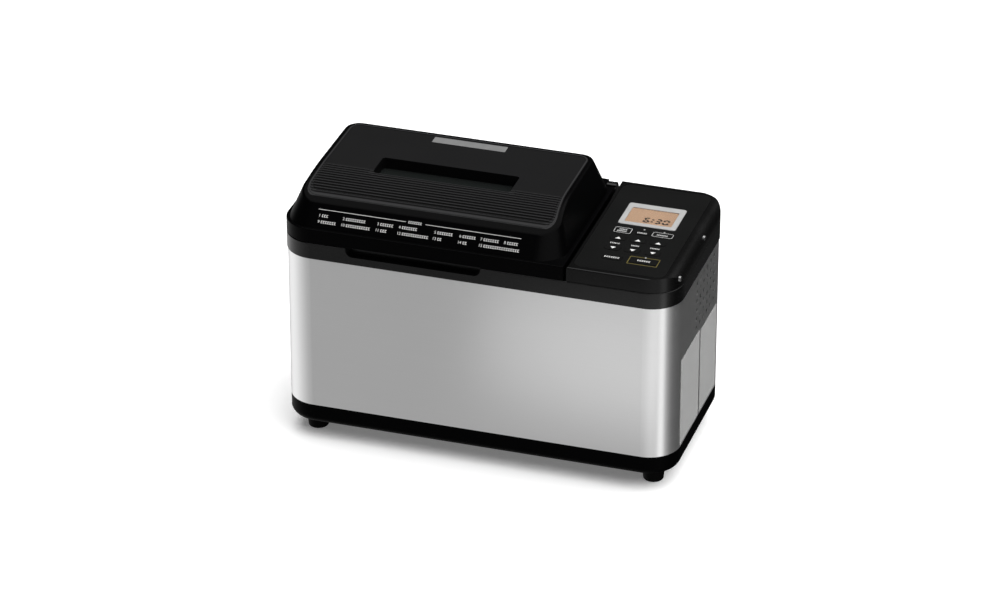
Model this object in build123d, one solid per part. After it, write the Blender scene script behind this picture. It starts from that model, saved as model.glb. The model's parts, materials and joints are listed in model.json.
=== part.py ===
from build123d import *

import math
import os

# A household bread machine: a brushed steel body on four feet, a wide hinged lid with a sunk
# viewing window, and a control panel at the right of the lid. Inside are a baking chamber with
# its heater, a loaf pan with two kneading blades, and a motor that drives both by belts.
# Millimetres. X runs to the right, Y to the back and Z up. The origin is on the table, under
# the middle of the machine.

# Overall sizes
width = 457.0
depth = 216.0
corner_radius = 37.0
foot_height = 21.0
base_top = 45.0
wrap_top = 230.5
frame_top = 250.0

# Casing
trim_overhang = 1.0
trim_edge_radius = 1.0
sheet = 1.0
base_wall = 3.0
base_edge_radius = 9.0
tongue_height = 8.0
tongue_wall = 2.2
tongue_clearance = 0.2
foot_radius = 13.0
foot_draft = 1.5
foot_edge_radius = 2.0
foot_inset_x = 31.0
foot_inset_y = 36.0
boss_radius = 5.0
mid_boss_x = 30.0
mid_boss_inset_y = 20.0
tray_vent_length = 44.0
tray_vent_width = 4.0
tray_vent_pitch = 9.0
tray_vents = 9
side_vent = 5.0
side_vent_pitch_y = 14.0
side_vent_pitch_z = 11.0
side_vent_front = -16.0
side_vent_low = 162.0
side_vents = 6
rear_opening_inset = 60.0
rear_opening_low = 60.0
rear_opening_high = 216.0
rear_lap = 6.0
rear_sheet = 1.2
louvre_length = 34.0
louvre_width = 4.0
louvre_pitch_x = 42.0
louvre_pitch_z = 11.0
louvre_low = 126.0
louvre_columns = 6
louvre_rows = 7
gland_radius = 9.0
gland_neck = 7.5
gland_bore = 4.0
gland_flange = 1.6
gland_seat = 3.0
gland_lip = 2.0
gland_x = 140.0
gland_z = 78.0

# Upper frame
frame_wall = 3.0
deck_drop = 2.0
wiring_left = 14.0
wiring_right = 18.0
wiring_inset_y = 22.0
grip_length = 156.0
grip_height = 10.0
grip_depth = 9.0
grip_radius = 8.0
grip_x = -71.0
grip_lip = 2.0
grip_lip_inset = 6.0

# Lid
panel_width = 123.5
lid_panel_gap = 3.5
lid_gap = 0.8
lid_wall = 3.0
skirt_edge_radius = 1.0
panel_front_height = 267.5
panel_rise = 1.5
dome_ledge = 4.0
dome_root = 3.0
dome_end_slope = 0.375
dome_front_slope = 0.80
dome_back_slope = 0.51
dome_top_radius = 12.0
dome_edge_radius = 4.0
dome_high = 320.0
crown_front = 282.3
crown_bend_y = -38.0
crown_height = 308.0
crown_radius = 150.0
rib_count = 14
rib_pitch = 4.1
rib_radius = 1.5
rib_rise = 0.7
rib_start = 33.5
rib_inset = 9.0
rib_window_gap = 5.0
bead_width = 1.6
bead_rise = 0.6
bead_inset = 5.0
window_length = 160.0
window_width = 37.0
window_y = -11.0
window_radius = 4.0
window_depth = 13.0
window_wall = 2.2
window_lap = 4.0
glass = 3.0

# Lid liner and its heater
liner_drop = 2.2
liner_rise = 32.0
liner_base_length = 300.0
liner_base_depth = 164.0
liner_top_length = 280.0
liner_top_depth = 124.0
liner_radius = 22.0
liner_margin = 1.0
liner_y = -2.0
liner_rear_y = 88.0
liner_boss_radius = 3.5
liner_boss_inset_x = 40.0
liner_boss_inset_y = 11.5
inner_window_lap = 6.0
rod_radius = 3.25
lid_heater_length = 226.0
lid_heater_depth = 94.0
lid_heater_bend = 16.0
lid_heater_tail_bend = 9.0
lid_heater_tail_x = 12.0
lid_heater_tail = 14.0

# Lid hinge
hinge_y_inset = 8.0
hinge_height = 260.0
hinge_pin_radius = 2.5
running_fit = 0.06
knuckle_radius = 7.5
lug_width = 11.0
left_lug_x = -184.0
left_knuckle = 26.0
right_knuckle = 40.0
lug_side_gap = 0.7
notch_gap = 1.2
left_lug_span = 6.0
lug_rise = 9.0
cap_half = 5.0
cap_edge_radius = 3.0
pin_cover = 2.0
pin_margin = 4.0
relief_reach = 4.0
relief_drop = 3.0

# Control panel
housing_wall = 2.5
shoulder_radius = 13.5
panel_edge_radius = 1.5
overlay = 0.8
overlay_margin = 7.0
overlay_left = 4.5
overlay_radius = 10.0
overlay_clearance = 0.1
lcd_x = -5.0
lcd_y = 33.4
lcd_bezel_length = 66.0
lcd_bezel_depth = 50.4
lcd_view_length = 54.0
lcd_view_depth = 35.0
lcd_view_y = -2.0
lcd_corner = 1.5
lcd_hole_margin = 2.0
lens_rise = 0.4
lens_clearance = 0.1
bezel_rise = 1.0
bezel_radius = 3.0
bezel_chamfer = 0.5
key_rise = 0.3
key_radius = 3.0
key_gap = 0.35
key_flange = 1.0
key_flange_drop = 4.0
key_flange_height = 1.2
key_travel = 0.6
board_drop = 10.5
board_sheet = 1.6
control_board_length = 100.0
control_board_depth = 160.0
control_board_x = -6.0
control_board_y = -11.0
post_radius = 3.0
post_inset_x = 8.0
post_inset_y = 5.0
switch_size = 6.0
switch_stem_radius = 1.6
switch_stem = 1.0
switch_gap = 0.2
processor_size = 16.0
processor_height = 2.2
processor_x = -14.0
processor_y = 67.0
screw_radius = 1.5
screw_head_radius = 3.2
screw_ys = (-83.0, 15.0)
screw_drop = 7.0
screw_length = 9.0
screw_head_depth = 1.6
screw_head_rise = 0.8
screw_clearance = 0.05

# Each key: place from the panel's middle, then its length and depth.
keys = {
    "crust_key": (-27.1, -6.7, 20.0, 13.0),
    "delay_key": (-4.9, -5.7, 16.0, 11.0),
    "timer_key": (17.9, -5.7, 24.0, 11.0),
    "course_up_key": (-27.1, -25.2, 17.0, 10.0),
    "hour_up_key": (-4.5, -25.2, 17.0, 10.0),
    "minute_up_key": (18.5, -25.2, 17.0, 10.0),
    "course_down_key": (-26.5, -48.9, 17.0, 10.0),
    "hour_down_key": (-4.3, -48.9, 17.0, 10.0),
    "minute_down_key": (18.7, -48.9, 17.0, 10.0),
    "cancel_key": (-21.1, -70.5, 22.0, 11.0),
    "start_key": (14.5, -69.4, 32.0, 12.0),
}

# Baking chamber
chamber_length = 284.0
chamber_depth = 166.0
chamber_radius = 20.0
chamber_floor = 75.0
chamber_flange = 9.0
deck_clearance = 1.0
chamber_bend = 6.0
shaft_hole_gap = 2.0
heater_z = 94.0
heater_gap_x = 15.0
heater_gap_y = 8.0
heater_bend = 22.0
heater_tail = 16.0
heater_tail_y = 13.0
heater_tail_bend = 8.0
heater_hole_gap = 0.8
bracket_clearance = 0.1
clip_spread = 85.0
clip_radius = 5.5
clip_sheet = 2.0
clip_reach = 22.0
clip_step = 6.0
probe_radius = 2.5
probe_z = 150.0
probe_tip = 7.0
probe_tail = 16.0
probe_collar_radius = 6.0
probe_collar = 3.0

# Loaf pan and kneading blades
pan_length = 222.0
pan_width = 122.0
pan_flare = 5.0
pan_wall = 1.5
pan_bottom = 100.0
pan_top = 225.0
pan_radius = 18.0
pan_rim = 4.0
rim_height = 3.0
rim_radius = 1.4
pan_bend = 6.0
pan_inner_bend = 5.0
pan_foot_length = 170.0
pan_foot_width = 64.0
pan_foot_radius = 12.0
spring_gap = 0.4
spring_sheet = 1.0
spring_width = 36.0
spring_height = 19.0
floor_gap = 0.3
blade_spacing = 110.0
shaft_radius = 4.0
shaft_top = 27.0
wing_length = 27.0
wing_width = 7.0
wing_height = 7.5
wing_rise = 6.5
seal_radius = 8.0
seal_flange = 2.5
seal_flange_height = 2.0
seal_length = 7.0
blade_hub_radius = 10.0
blade_wall_gap = 12.0
blade_height = 34.0
blade_floor_gap = 3.0
blade_taper = 4.0
ear_y = 36.0
ear_sheet = 2.0
ear_radius = 4.0
ear_drop = 26.0
wire_radius = 2.0
handle_reach = 36.0
handle_lean = 6.0
handle_pivot_rise = 6.0
handle_pivot_out = 3.5
handle_inside = 3.5
handle_outside = 5.5
handle_end_bend = 4.0
handle_bend = 9.0

# Drive
chassis_z = 66.0
chassis_sheet = 2.0
chassis_inset = 16.0
tab_width = 10.0
tab_height = 84.0
tab_left = 8.0
tab_right = 28.0
bearing_radius = 12.0
bearing_flange = 9.0
bearing_flange_height = 3.0
bearing_drop = 6.0
coupling_radius = 15.0
coupling_gap = 1.5
coupling_disc = 3.0
prong_radius = 14.0
prong_bore = 6.5
prong_height = 9.0
prong_gap = 9.2
cross_pulley_radius = 30.0
main_pulley_radius = 54.0
motor_pulley_radius = 9.0
pulley_height = 10.0
pulley_flange = 1.2
pulley_flange_rise = 3.2
pulley_rim = 5.0
pulley_web = 3.0
main_hub_radius = 12.0
cross_hub_radius = 10.0
cross_pulley_z = 29.0
main_pulley_z = 44.0
belt_gap = 0.3
belt_thickness = 2.4
belt_edge_gap = 0.4
motor_inset = 74.0
stator_size = 80.0
stator_low = 96.0
stator_high = 124.0
stator_corner = 14.0
stator_slots = 12
slot_width = 3.6
slot_depth = 9.0
coil_radius = 35.0
coil_height = 9.0
coil_edge_radius = 3.5
coil_gap = 2.2
rotor_radius = 21.8
air_gap = 0.5
bracket_radius = 42.0
bracket_height = 16.0
bracket_wall = 3.0
bracket_boss_radius = 9.0
bracket_boss = 8.0
bracket_windows = 6
bracket_window = 16.0
bracket_margin = 18.0
mount_spread = 38.0
mount_radius = 7.0
mount_waist = 2.0
mount_lip = 4.0
ring_step = 3.0
ring_height = 5.0
shaft_end = 5.0

# Power board
power_board_inset_y = 22.0
power_board_left = 2.0
power_board_right = 22.0
power_board_rise = 34.0
power_board_height = 100.0
terminal_count = 4
terminal_pitch = 9.0

# Cuts are taken this much past the faces they open through.
through = 5.0

# Places worked out from the sizes above
half_width = width / 2
half_depth = depth / 2
wrap_length = width - 2 * trim_overhang
wrap_depth = depth - 2 * trim_overhang
panel_left = half_width - panel_width
panel_middle = half_width - panel_width / 2
lid_right = panel_left - lid_panel_gap
lid_middle = (lid_right - half_width) / 2
lid_length = lid_right + half_width
deck_top = frame_top - deck_drop
lid_bottom = frame_top + lid_gap
tilt = math.atan2(panel_rise, depth)
hinge_y = half_depth - hinge_y_inset
pin_bore = hinge_pin_radius + running_fit
shaft_bore = shaft_radius + running_fit
blade_xs = {"left": lid_middle - blade_spacing / 2, "right": lid_middle + blade_spacing / 2}
blade_reach = (pan_length - blade_spacing) / 2 - blade_wall_gap
motor_x = half_width - motor_inset
left_notch = left_lug_span + notch_gap
cap_reach = math.hypot(cap_half - cap_edge_radius, lug_rise - cap_edge_radius) + cap_edge_radius
right_notch = max(knuckle_radius, cap_reach) + notch_gap
rear_face = half_depth - trim_overhang - sheet
board_face = -half_depth + power_board_inset_y
liner_low = lid_bottom + liner_drop
liner_top = liner_low + liner_rise
panel_plane = Plane(
    origin=(0, -half_depth, panel_front_height),
    x_dir=(1, 0, 0),
    z_dir=(0, -math.sin(tilt), math.cos(tilt)),
)


def block(x0, x1, y0, y1, z0, z1):
    """A box between two corners."""
    return Pos((x0 + x1) / 2, (y0 + y1) / 2, (z0 + z1) / 2) * Box(x1 - x0, y1 - y0, z1 - z0)


def prism(length, across, radius, z0, z1, x=0.0, y=0.0):
    """An upright block with a rounded rectangular plan."""
    return extrude(Pos(x, y, z0) * RectangleRounded(length, across, radius), z1 - z0)


def upright(radius, z0, z1, x=0.0, y=0.0):
    """A round bar along Z."""
    return Pos(x, y, (z0 + z1) / 2) * Cylinder(radius, z1 - z0)


def along_x(radius, x0, x1, y, z):
    """A round bar along X."""
    return Pos((x0 + x1) / 2, y, z) * Rot(0, 90, 0) * Cylinder(radius, x1 - x0)


def along_y(radius, y0, y1, x, z):
    """A round bar along Y."""
    return Pos(x, (y0 + y1) / 2, z) * Rot(90, 0, 0) * Cylinder(radius, y1 - y0)


def case_prism(inset, z0, z1):
    """The machine's outline in plan, drawn in by inset."""
    return prism(width - 2 * inset, depth - 2 * inset, corner_radius - inset, z0, z1)


def panel_prism(length, across, radius, x, y, low, high):
    """An upright on the sloping panel: heights are measured from the panel's surface."""
    place = panel_plane.location * Pos(x, y + half_depth, low)
    return extrude(place * RectangleRounded(length, across, radius), high - low)


def rod_along(path, radius):
    """A round rod that follows a path of straight runs and arcs."""
    start = Plane(origin=path @ 0, z_dir=path % 0)
    return sweep(start * Circle(radius), path=path)


def under_panel(drop):
    """All that lies under the sloping plane of the panel, lowered by drop."""
    reach = 2 * width
    return panel_plane.location * Pos(0, half_depth, -drop - reach / 2) * Box(reach, reach, reach)


def tongue_ring(z0, z1):
    """Ring that fits inside the steel and locates it on the tray and under the frame."""
    outside = trim_overhang + sheet + tongue_clearance
    return case_prism(outside, z0, z1) - case_prism(outside + tongue_wall, z0, z1)


def base_tray():
    """Moulded tray under the body: skirt, tongue that locates the steel, screw bosses and vents."""
    outer = prism(wrap_length, wrap_depth, corner_radius - trim_overhang, foot_height, base_top)
    outer = fillet(outer.edges().group_by(Axis.Z)[0], base_edge_radius)
    top = base_top + tongue_height
    hollow = case_prism(trim_overhang + base_wall, foot_height + base_wall, top)
    tray = outer - hollow + tongue_ring(base_top - base_wall, top)
    for x, y in boss_places():
        tray += upright(boss_radius, foot_height + base_wall / 2, chassis_z, x, y)
    half_length, half_slot = tray_vent_length / 2, tray_vent_width / 2
    for row in range(tray_vents):
        y = (row - (tray_vents - 1) / 2) * tray_vent_pitch
        tray -= block(motor_x - half_length, motor_x + half_length, y - half_slot, y + half_slot,
                      foot_height - 1, foot_height + 2 * base_wall)
    return tray


def foot_places():
    """Centres of the four feet."""
    x = half_width - foot_inset_x
    y = half_depth - foot_inset_y
    return [(-x, -y), (x, -y), (-x, y), (x, y)]


def boss_places():
    """Centres of the bosses that carry the chassis: one over each foot and two midway."""
    mid_y = half_depth - mid_boss_inset_y
    return foot_places() + [(mid_boss_x, -mid_y), (mid_boss_x, mid_y)]


def feet():
    """Four round feet with a drawn-in rounded sole."""
    group = []
    for x, y in foot_places():
        foot = Pos(x, y, foot_height / 2) * Cone(foot_radius - foot_draft, foot_radius, foot_height)
        group.append(fillet(foot.edges().group_by(Axis.Z)[0], foot_edge_radius))
    return Compound(children=group)


def rear_opening(grow, y0, y1):
    """The opening in the back of the steel, made larger all round by grow."""
    half = half_width - rear_opening_inset + grow
    return block(-half, half, y0, y1, rear_opening_low - grow, rear_opening_high + grow)


def body_wrap():
    """Brushed steel band round the body, with side vents and an opening for the rear panel."""
    wrap = case_prism(trim_overhang, base_top, wrap_top)
    wrap -= case_prism(trim_overhang + sheet, base_top, wrap_top)
    wrap -= rear_opening(0, rear_face - sheet, half_depth)
    side = half_width - trim_overhang
    for column in range(side_vents):
        for row in range(side_vents):
            y = side_vent_front + column * side_vent_pitch_y
            z = side_vent_low + row * side_vent_pitch_z
            wrap -= block(side - 2 * sheet, side + sheet, y, y + side_vent, z, z + side_vent)
    return wrap


def rear_panel():
    """Flat sheet behind the opening at the back, with louvre slots and the hole for the cord gland."""
    panel = rear_opening(rear_lap, rear_face - rear_sheet, rear_face)
    slot = Rot(90, 0, 0) * SlotOverall(louvre_length, louvre_width)
    for column in range(louvre_columns):
        for row in range(louvre_rows):
            x = (column - (louvre_columns - 1) / 2) * louvre_pitch_x
            z = louvre_low + row * louvre_pitch_z
            panel -= extrude(Pos(x, rear_face, z) * slot, through, both=True)
    return panel - along_y(gland_neck, rear_face - through, rear_face + through, gland_x, gland_z)


def cord_gland():
    """Round grommet in the rear panel through which the mains lead leaves."""
    inner_y = rear_face - rear_sheet
    gland = along_y(gland_neck, inner_y, rear_face, gland_x, gland_z)
    gland += along_y(gland_radius + gland_lip, inner_y - gland_seat, inner_y, gland_x, gland_z)
    gland += along_y(gland_radius, rear_face, rear_face + gland_flange, gland_x, gland_z)
    return gland - along_y(gland_bore, inner_y - through, rear_face + through, gland_x, gland_z)


def chamber_place(length, across, radius, z0, z1):
    """A block centred on the baking chamber."""
    return prism(length, across, radius, z0, z1, x=lid_middle)


def hinge_lug(x, half_span):
    """Upright ear of the upper frame, rounded over the hinge axis."""
    x0, x1 = x - lug_width / 2, x + lug_width / 2
    ear = block(x0, x1, hinge_y - half_span, hinge_y + half_span, deck_top - 1, hinge_height)
    return ear + along_x(half_span, x0, x1, hinge_y, hinge_height)


def right_lug_x():
    """Middle of the right hinge ear, which stands in the notch at the lid's rear corner."""
    return lid_right - lug_width / 2


def upper_frame():
    """Moulded ring on top of the steel, with the deck round the chamber, the finger grip and hinge ears."""
    frame = case_prism(0, wrap_top, frame_top)
    levels = frame.edges().group_by(Axis.Z)
    frame = fillet(levels[0] + levels[-1], trim_edge_radius)
    frame -= case_prism(frame_wall, deck_top, frame_top)
    frame -= case_prism(frame_wall, wrap_top + frame_wall, deck_top - frame_wall)
    flange = trim_overhang + sheet + tongue_clearance + tongue_wall
    frame -= case_prism(flange, wrap_top - 1, wrap_top + frame_wall)
    frame += tongue_ring(wrap_top - tongue_height, wrap_top + 1)
    hole_length = chamber_length + 2 * (sheet + deck_clearance)
    hole_depth = chamber_depth + 2 * (sheet + deck_clearance)
    frame -= chamber_place(hole_length, hole_depth, chamber_radius, deck_top - 2 * frame_wall, frame_top)
    wiring_y = half_depth - wiring_inset_y
    frame -= block(panel_left + wiring_left, half_width - wiring_right, -wiring_y, wiring_y,
                   deck_top - through, frame_top)
    back = -half_depth + grip_depth + frame_wall
    half_grip = grip_length / 2 + frame_wall
    low = frame_top - grip_height - frame_wall
    frame += block(grip_x - half_grip, grip_x + half_grip, -half_depth + 1, back, low, deck_top)
    front = Plane.XZ.offset(half_depth - grip_depth)
    slot_z = frame_top + (grip_radius - grip_height) / 2
    slot = RectangleRounded(grip_length, grip_height + grip_radius, grip_radius)
    frame -= extrude(front * Pos(grip_x, slot_z) * slot, 2 * grip_depth)
    frame += hinge_lug(left_lug_x, left_lug_span)
    right = right_lug_x()
    frame += hinge_lug(right, knuckle_radius)
    cap = block(right - lug_width / 2, right + lug_width / 2, hinge_y - cap_half, hinge_y + cap_half,
                hinge_height, hinge_height + lug_rise)
    frame += fillet(cap.edges().filter_by(Axis.X).group_by(Axis.Z)[-1], cap_edge_radius)
    frame -= along_x(hinge_pin_radius, left_lug_x - lug_width, left_lug_x + lug_width, hinge_y, hinge_height)
    pin_end = right + lug_width / 2 - pin_cover
    frame -= along_x(hinge_pin_radius, right - lug_width, pin_end, hinge_y, hinge_height)
    return frame


def hinge_pins():
    """Two steel pins, held in the frame's ears, on which the lid turns."""
    outer, inner, right = knuckle_spans()
    left_pin = along_x(hinge_pin_radius, outer[0] + pin_margin, inner[1] - pin_margin, hinge_y, hinge_height)
    right_end = right_lug_x() + lug_width / 2 - pin_cover
    right_pin = along_x(hinge_pin_radius, right[0] + pin_margin, right_end, hinge_y, hinge_height)
    return Compound(children=[left_pin, right_pin])


def crown_line(drop):
    """Side profile of the lid's top: a slope at the front that rounds over into a level crown."""
    return FilletPolyline(
        (-half_depth, crown_front - drop),
        (crown_bend_y, crown_height - drop),
        (half_depth, crown_height + 1 - drop),
        radius=crown_radius,
    )


def under_crown(drop):
    """All that lies under the lid's top, lowered by drop."""
    line = crown_line(drop)
    rest = Polyline(line @ 1, (half_depth, 0), (-half_depth, 0), line @ 0)
    return extrude(Plane.YZ * make_face(line + rest), width, both=True)


def dome_walls(wall):
    """The lid's leaning dome before its top is cut to the crown line, drawn in by wall on every side."""
    sections = []
    low = panel_front_height - dome_root - wall * 2 / 3
    for z, radius in ((low, corner_radius - dome_ledge - wall), (dome_high, dome_top_radius - wall)):
        rise = z - panel_front_height
        end, front, back = (
            dome_ledge + slope * rise + wall * math.hypot(1, slope)
            for slope in (dome_end_slope, dome_front_slope, dome_back_slope)
        )
        plan = RectangleRounded(lid_length - 2 * end, depth - front - back, radius)
        sections.append(Pos(lid_middle, (front - back) / 2, z) * plan)
    return loft(sections)


def dome_block(wall):
    """The lid's dome under its crown line, drawn in by wall on every side."""
    return dome_walls(wall) & under_crown(wall)


def skirt_block(wall):
    """The lid's skirt as a solid, drawn in by wall on every side but the bottom."""
    skirt = case_prism(wall, lid_bottom, crown_height) & under_panel(wall)
    return skirt & block(-width, lid_right - wall, -depth, depth, 0, crown_height)


def hinge_notches(grow):
    """Room in the lid for the frame's ears as it swings, with grow added for the walls round them."""
    side = lug_width / 2 + lug_side_gap + grow
    right_front = hinge_y - right_notch - grow
    right = block(right_lug_x() - side, width, right_front, depth, 0, 2 * crown_height)
    left_front = hinge_y - left_notch - grow
    roof = hinge_height + left_notch + grow
    return right + block(left_lug_x - side, left_lug_x + side, left_front, depth, 0, roof)


def rear_relief():
    """Room under the lid's back edge, which swings down behind the hinge axis as the lid opens."""
    return block(-width, width, hinge_y - relief_reach, depth, 0, hinge_height - relief_drop)


def window_prism(grow, low, high):
    """An upright on the window's outline, made larger all round by grow."""
    length, across = window_length + 2 * grow, window_width + 2 * grow
    return prism(length, across, window_radius + grow, low, high, x=lid_middle, y=window_y)


def lid_cover():
    """Moulded outer lid: skirt, leaning dome, ribbed crown, window well and hinge knuckles."""
    dome = dome_block(0)
    rim_low = (panel_front_height + crown_front) / 2 + dome_edge_radius
    rim_edges = [edge for edge in dome.edges() if edge.center().Z > rim_low and not crown_seam(edge)]
    dome = fillet(rim_edges, dome_edge_radius)
    skirt = skirt_block(0)
    levels = skirt.faces().sort_by(Axis.Z)
    skirt = fillet(levels[0].edges() + levels[-1].edges(), skirt_edge_radius)
    outer = skirt + dome - hinge_notches(0) - rear_relief()
    inner = skirt_block(lid_wall) + dome_block(lid_wall) - hinge_notches(lid_wall)
    cover = outer - inner

    well_low = crown_height - window_depth
    cover += window_prism(window_wall, well_low, dome_high) & under_crown(0)
    cover -= window_prism(0, well_low - 1, dome_high)
    cover += crown_bead()
    cover += crown_ribs()

    for x0, x1 in knuckle_spans():
        cover += along_x(knuckle_radius, x0, x1, hinge_y, hinge_height)
        cover -= along_x(pin_bore, x0, x1, hinge_y, hinge_height)
    room = dome_block(lid_wall / 2) + skirt_block(lid_wall / 2)
    for x, y in liner_bosses():
        cover += upright(liner_boss_radius, liner_low + sheet, dome_high, x, y) & room
    half_lip = grip_length / 2 - grip_lip_inset
    return cover + block(grip_x - half_lip, grip_x + half_lip, -half_depth + 1, -half_depth + grip_depth,
                         lid_bottom, lid_bottom + grip_lip)


def crown_seam(edge):
    """True for the straight seams across the crown, between its slope, its bend and its level top."""
    if edge.geom_type != GeomType.LINE or abs(edge.center().X - lid_middle) > 1:
        return False
    return abs(edge.center().Y - crown_bend_y) < crown_radius / 4


def crown_bead():
    """Thin raised line that follows the edge of the crown."""
    band = dome_walls(bead_inset) - dome_walls(bead_inset + bead_width)
    return band & (under_crown(-bead_rise) - under_crown(lid_wall / 2))


def crown_ribs():
    """Fine ribs across the front of the crown, ending at its sides and short of the window."""
    line = crown_line(0)
    walls = dome_walls(rib_inset)
    window_front = window_y - window_width / 2 - rib_window_gap / 2
    reach = window_length / 2 + rib_window_gap
    ribs = []
    for number in range(rib_count):
        point = line.position_at(rib_start + number * rib_pitch, position_mode=PositionMode.LENGTH)
        spans = [(-half_width, lid_right)]
        if point.X > window_front:
            spans = [(-half_width, lid_middle - reach), (lid_middle + reach, lid_right)]
        for x0, x1 in spans:
            ribs.append(along_x(rib_radius, x0, x1, point.X, point.Y - rib_radius + rib_rise) & walls)
    return ribs


def knuckle_spans():
    """Where the lid's hinge knuckles lie along X: both sides of the left ear, and left of the right ear."""
    side = lug_width / 2 + lug_side_gap
    right = right_lug_x() - side
    left = left_lug_x
    return [(left - side - left_knuckle / 2, left - side), (left + side, left + side + left_knuckle),
            (right - right_knuckle, right)]


def liner_bosses():
    """Centres of the bosses inside the lid that the liner is screwed to."""
    front = -half_depth + liner_boss_inset_y
    back = liner_rear_y - liner_boss_radius
    reach = liner_base_length / 2 - liner_boss_inset_x
    return [(lid_middle - reach, front), (lid_middle, front), (lid_middle + reach, front),
            (lid_middle - reach, back), (lid_middle + reach, back)]


def lid_window():
    """Outer pane, closed against the bottom of the window well."""
    high = crown_height - window_depth
    return window_prism(window_lap, high - glass, high)


def liner_block(inset):
    """The raised middle of the lid liner, drawn in by inset."""
    low = Pos(lid_middle, liner_y, liner_low - (1 if inset else 0)) * RectangleRounded(
        liner_base_length - 2 * inset, liner_base_depth - 2 * inset, liner_radius
    )
    high = Pos(lid_middle, liner_y, liner_top - inset) * RectangleRounded(
        liner_top_length - 2 * inset, liner_top_depth - 2 * inset, liner_radius
    )
    return loft([low, high])


def lid_liner():
    """Drawn metal inner cover of the lid, with a flange, a raised middle and the inner window hole."""
    inset = lid_wall + liner_margin
    front = -half_depth + inset
    middle = (front + liner_rear_y) / 2
    flange = prism(lid_length - 2 * inset, liner_rear_y - front, liner_radius, liner_low, liner_low + sheet,
                   x=lid_middle, y=middle)
    flange &= case_prism(inset, 0, dome_high)
    liner = flange + liner_block(0) - liner_block(sheet)
    lap = 2 * inner_window_lap
    return liner - prism(window_length - lap, window_width - lap, window_radius, liner_low, dome_high,
                         x=lid_middle, y=window_y)


def lid_inner_glass():
    """Inner pane, lying on the liner over its window hole."""
    return window_prism(window_lap, liner_top, liner_top + glass)


def lid_heater():
    """Sheathed heater lying on the liner, bent round the window, with both tails to the back."""
    z = liner_top + rod_radius
    x0, x1 = lid_middle - lid_heater_length / 2, lid_middle + lid_heater_length / 2
    y0, y1 = window_y - lid_heater_depth / 2, window_y + lid_heater_depth / 2
    left, right = lid_middle - lid_heater_tail_x, lid_middle + lid_heater_tail_x
    end = y1 + lid_heater_tail
    corner, turn = lid_heater_bend, lid_heater_tail_bend
    path = FilletPolyline(
        (left, end, z), (left, y1, z), (x0, y1, z), (x0, y0, z),
        (x1, y0, z), (x1, y1, z), (right, y1, z), (right, end, z),
        radius=[turn, corner, corner, corner, corner, turn],
    )
    return rod_along(path, rod_radius)


def housing_block(wall, low):
    """The control panel's housing as a solid with a rounded right shoulder, drawn in by wall."""
    side = Plane(origin=panel_plane.origin, x_dir=(1, 0, 0), z_dir=-panel_plane.y_dir)
    left, right = panel_left + wall, half_width - wall
    bottom = frame_top - crown_height
    outline = FilletPolyline(
        (left, bottom), (left, -wall), (right, -wall), (right, bottom),
        radius=[panel_edge_radius, shoulder_radius - wall],
    )
    face = make_face(outline + Line(outline @ 1, outline @ 0))
    return extrude(side * face, 2 * depth, both=True) & case_prism(wall, low, crown_height)


def panel_profile():
    """Side view of the control housing through its whole width: front and back edges are rounded."""
    outline = FilletPolyline(
        (-half_depth, 0), (-half_depth, panel_front_height),
        (half_depth, panel_front_height + panel_rise), (half_depth, 0),
        radius=panel_edge_radius,
    )
    face = make_face(outline + Line(outline @ 1, outline @ 0))
    return extrude(Plane.YZ * face, width, both=True)


def lcd_place():
    """Middle of the display on the panel."""
    return panel_middle + lcd_x, lcd_y


def control_housing():
    """Moulded housing of the control panel: shell, locating tongue, overlay recess, key and display holes."""
    shell = (housing_block(0, lid_bottom) & panel_profile()) - housing_block(housing_wall, deck_top)
    edge = frame_wall + tongue_clearance
    high = lid_bottom + tongue_wall
    tongue = case_prism(edge, deck_top, high) - case_prism(edge + tongue_wall, deck_top, high)
    shell += tongue & block(panel_left, width, -depth, depth, 0, crown_height)
    shell += block(panel_left, panel_left + housing_wall, -half_depth + edge, half_depth - edge,
                   deck_top, lid_bottom)
    shell -= overlay_block(0, -overlay, overlay)
    x, y = lcd_place()
    grow = 2 * lcd_hole_margin
    shell -= panel_prism(lcd_view_length + grow, lcd_view_depth + grow, lcd_corner, x, y + lcd_view_y,
                         -board_drop, through)
    for name in keys:
        shell -= key_hole(name)
    for x, y in board_posts():
        post = panel_plane.location * Pos(x, y + half_depth, -(board_drop + overlay) / 2)
        shell += post * Cylinder(post_radius, board_drop - overlay)
    for y in screw_ys:
        shell -= screw_solid(y, screw_clearance)
    return shell


def key_hole(name):
    """The hole for one key through the housing and the overlay."""
    dx, y, length, across = keys[name]
    grow = 2 * key_gap
    return panel_prism(length + grow, across + grow, key_radius + key_gap, panel_middle + dx, y,
                       -board_drop, through)


def board_posts():
    """Centres of the posts under the panel that carry the control board."""
    dx = control_board_length / 2 - post_inset_x
    dy = control_board_depth / 2 - post_inset_y
    x, y = panel_middle + control_board_x, control_board_y
    return [(x - dx, y - dy), (x + dx, y - dy), (x - dx, y + dy), (x + dx, y + dy)]


def overlay_block(shrink, low, high):
    """The outline of the printed overlay on the panel, drawn in by shrink."""
    length = panel_width - shoulder_radius - overlay_margin
    across = depth - 2 * overlay_margin
    x = panel_left + overlay_left + length / 2
    return panel_prism(length - 2 * shrink, across - 2 * shrink, overlay_radius, x, 0, low, high)


def control_overlay():
    """Thin printed plate let into the top of the panel, with holes for the keys and the display."""
    plate = overlay_block(overlay_clearance, -overlay, 0)
    plate -= lcd_view(0, -through, through)
    for name in keys:
        plate -= key_hole(name)
    return plate


def lcd_view(grow, low, high):
    """An upright on the visible part of the display, made larger all round by grow."""
    x, y = lcd_place()
    length, across = lcd_view_length + 2 * grow, lcd_view_depth + 2 * grow
    return panel_prism(length, across, lcd_corner, x, y + lcd_view_y, low, high)


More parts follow.
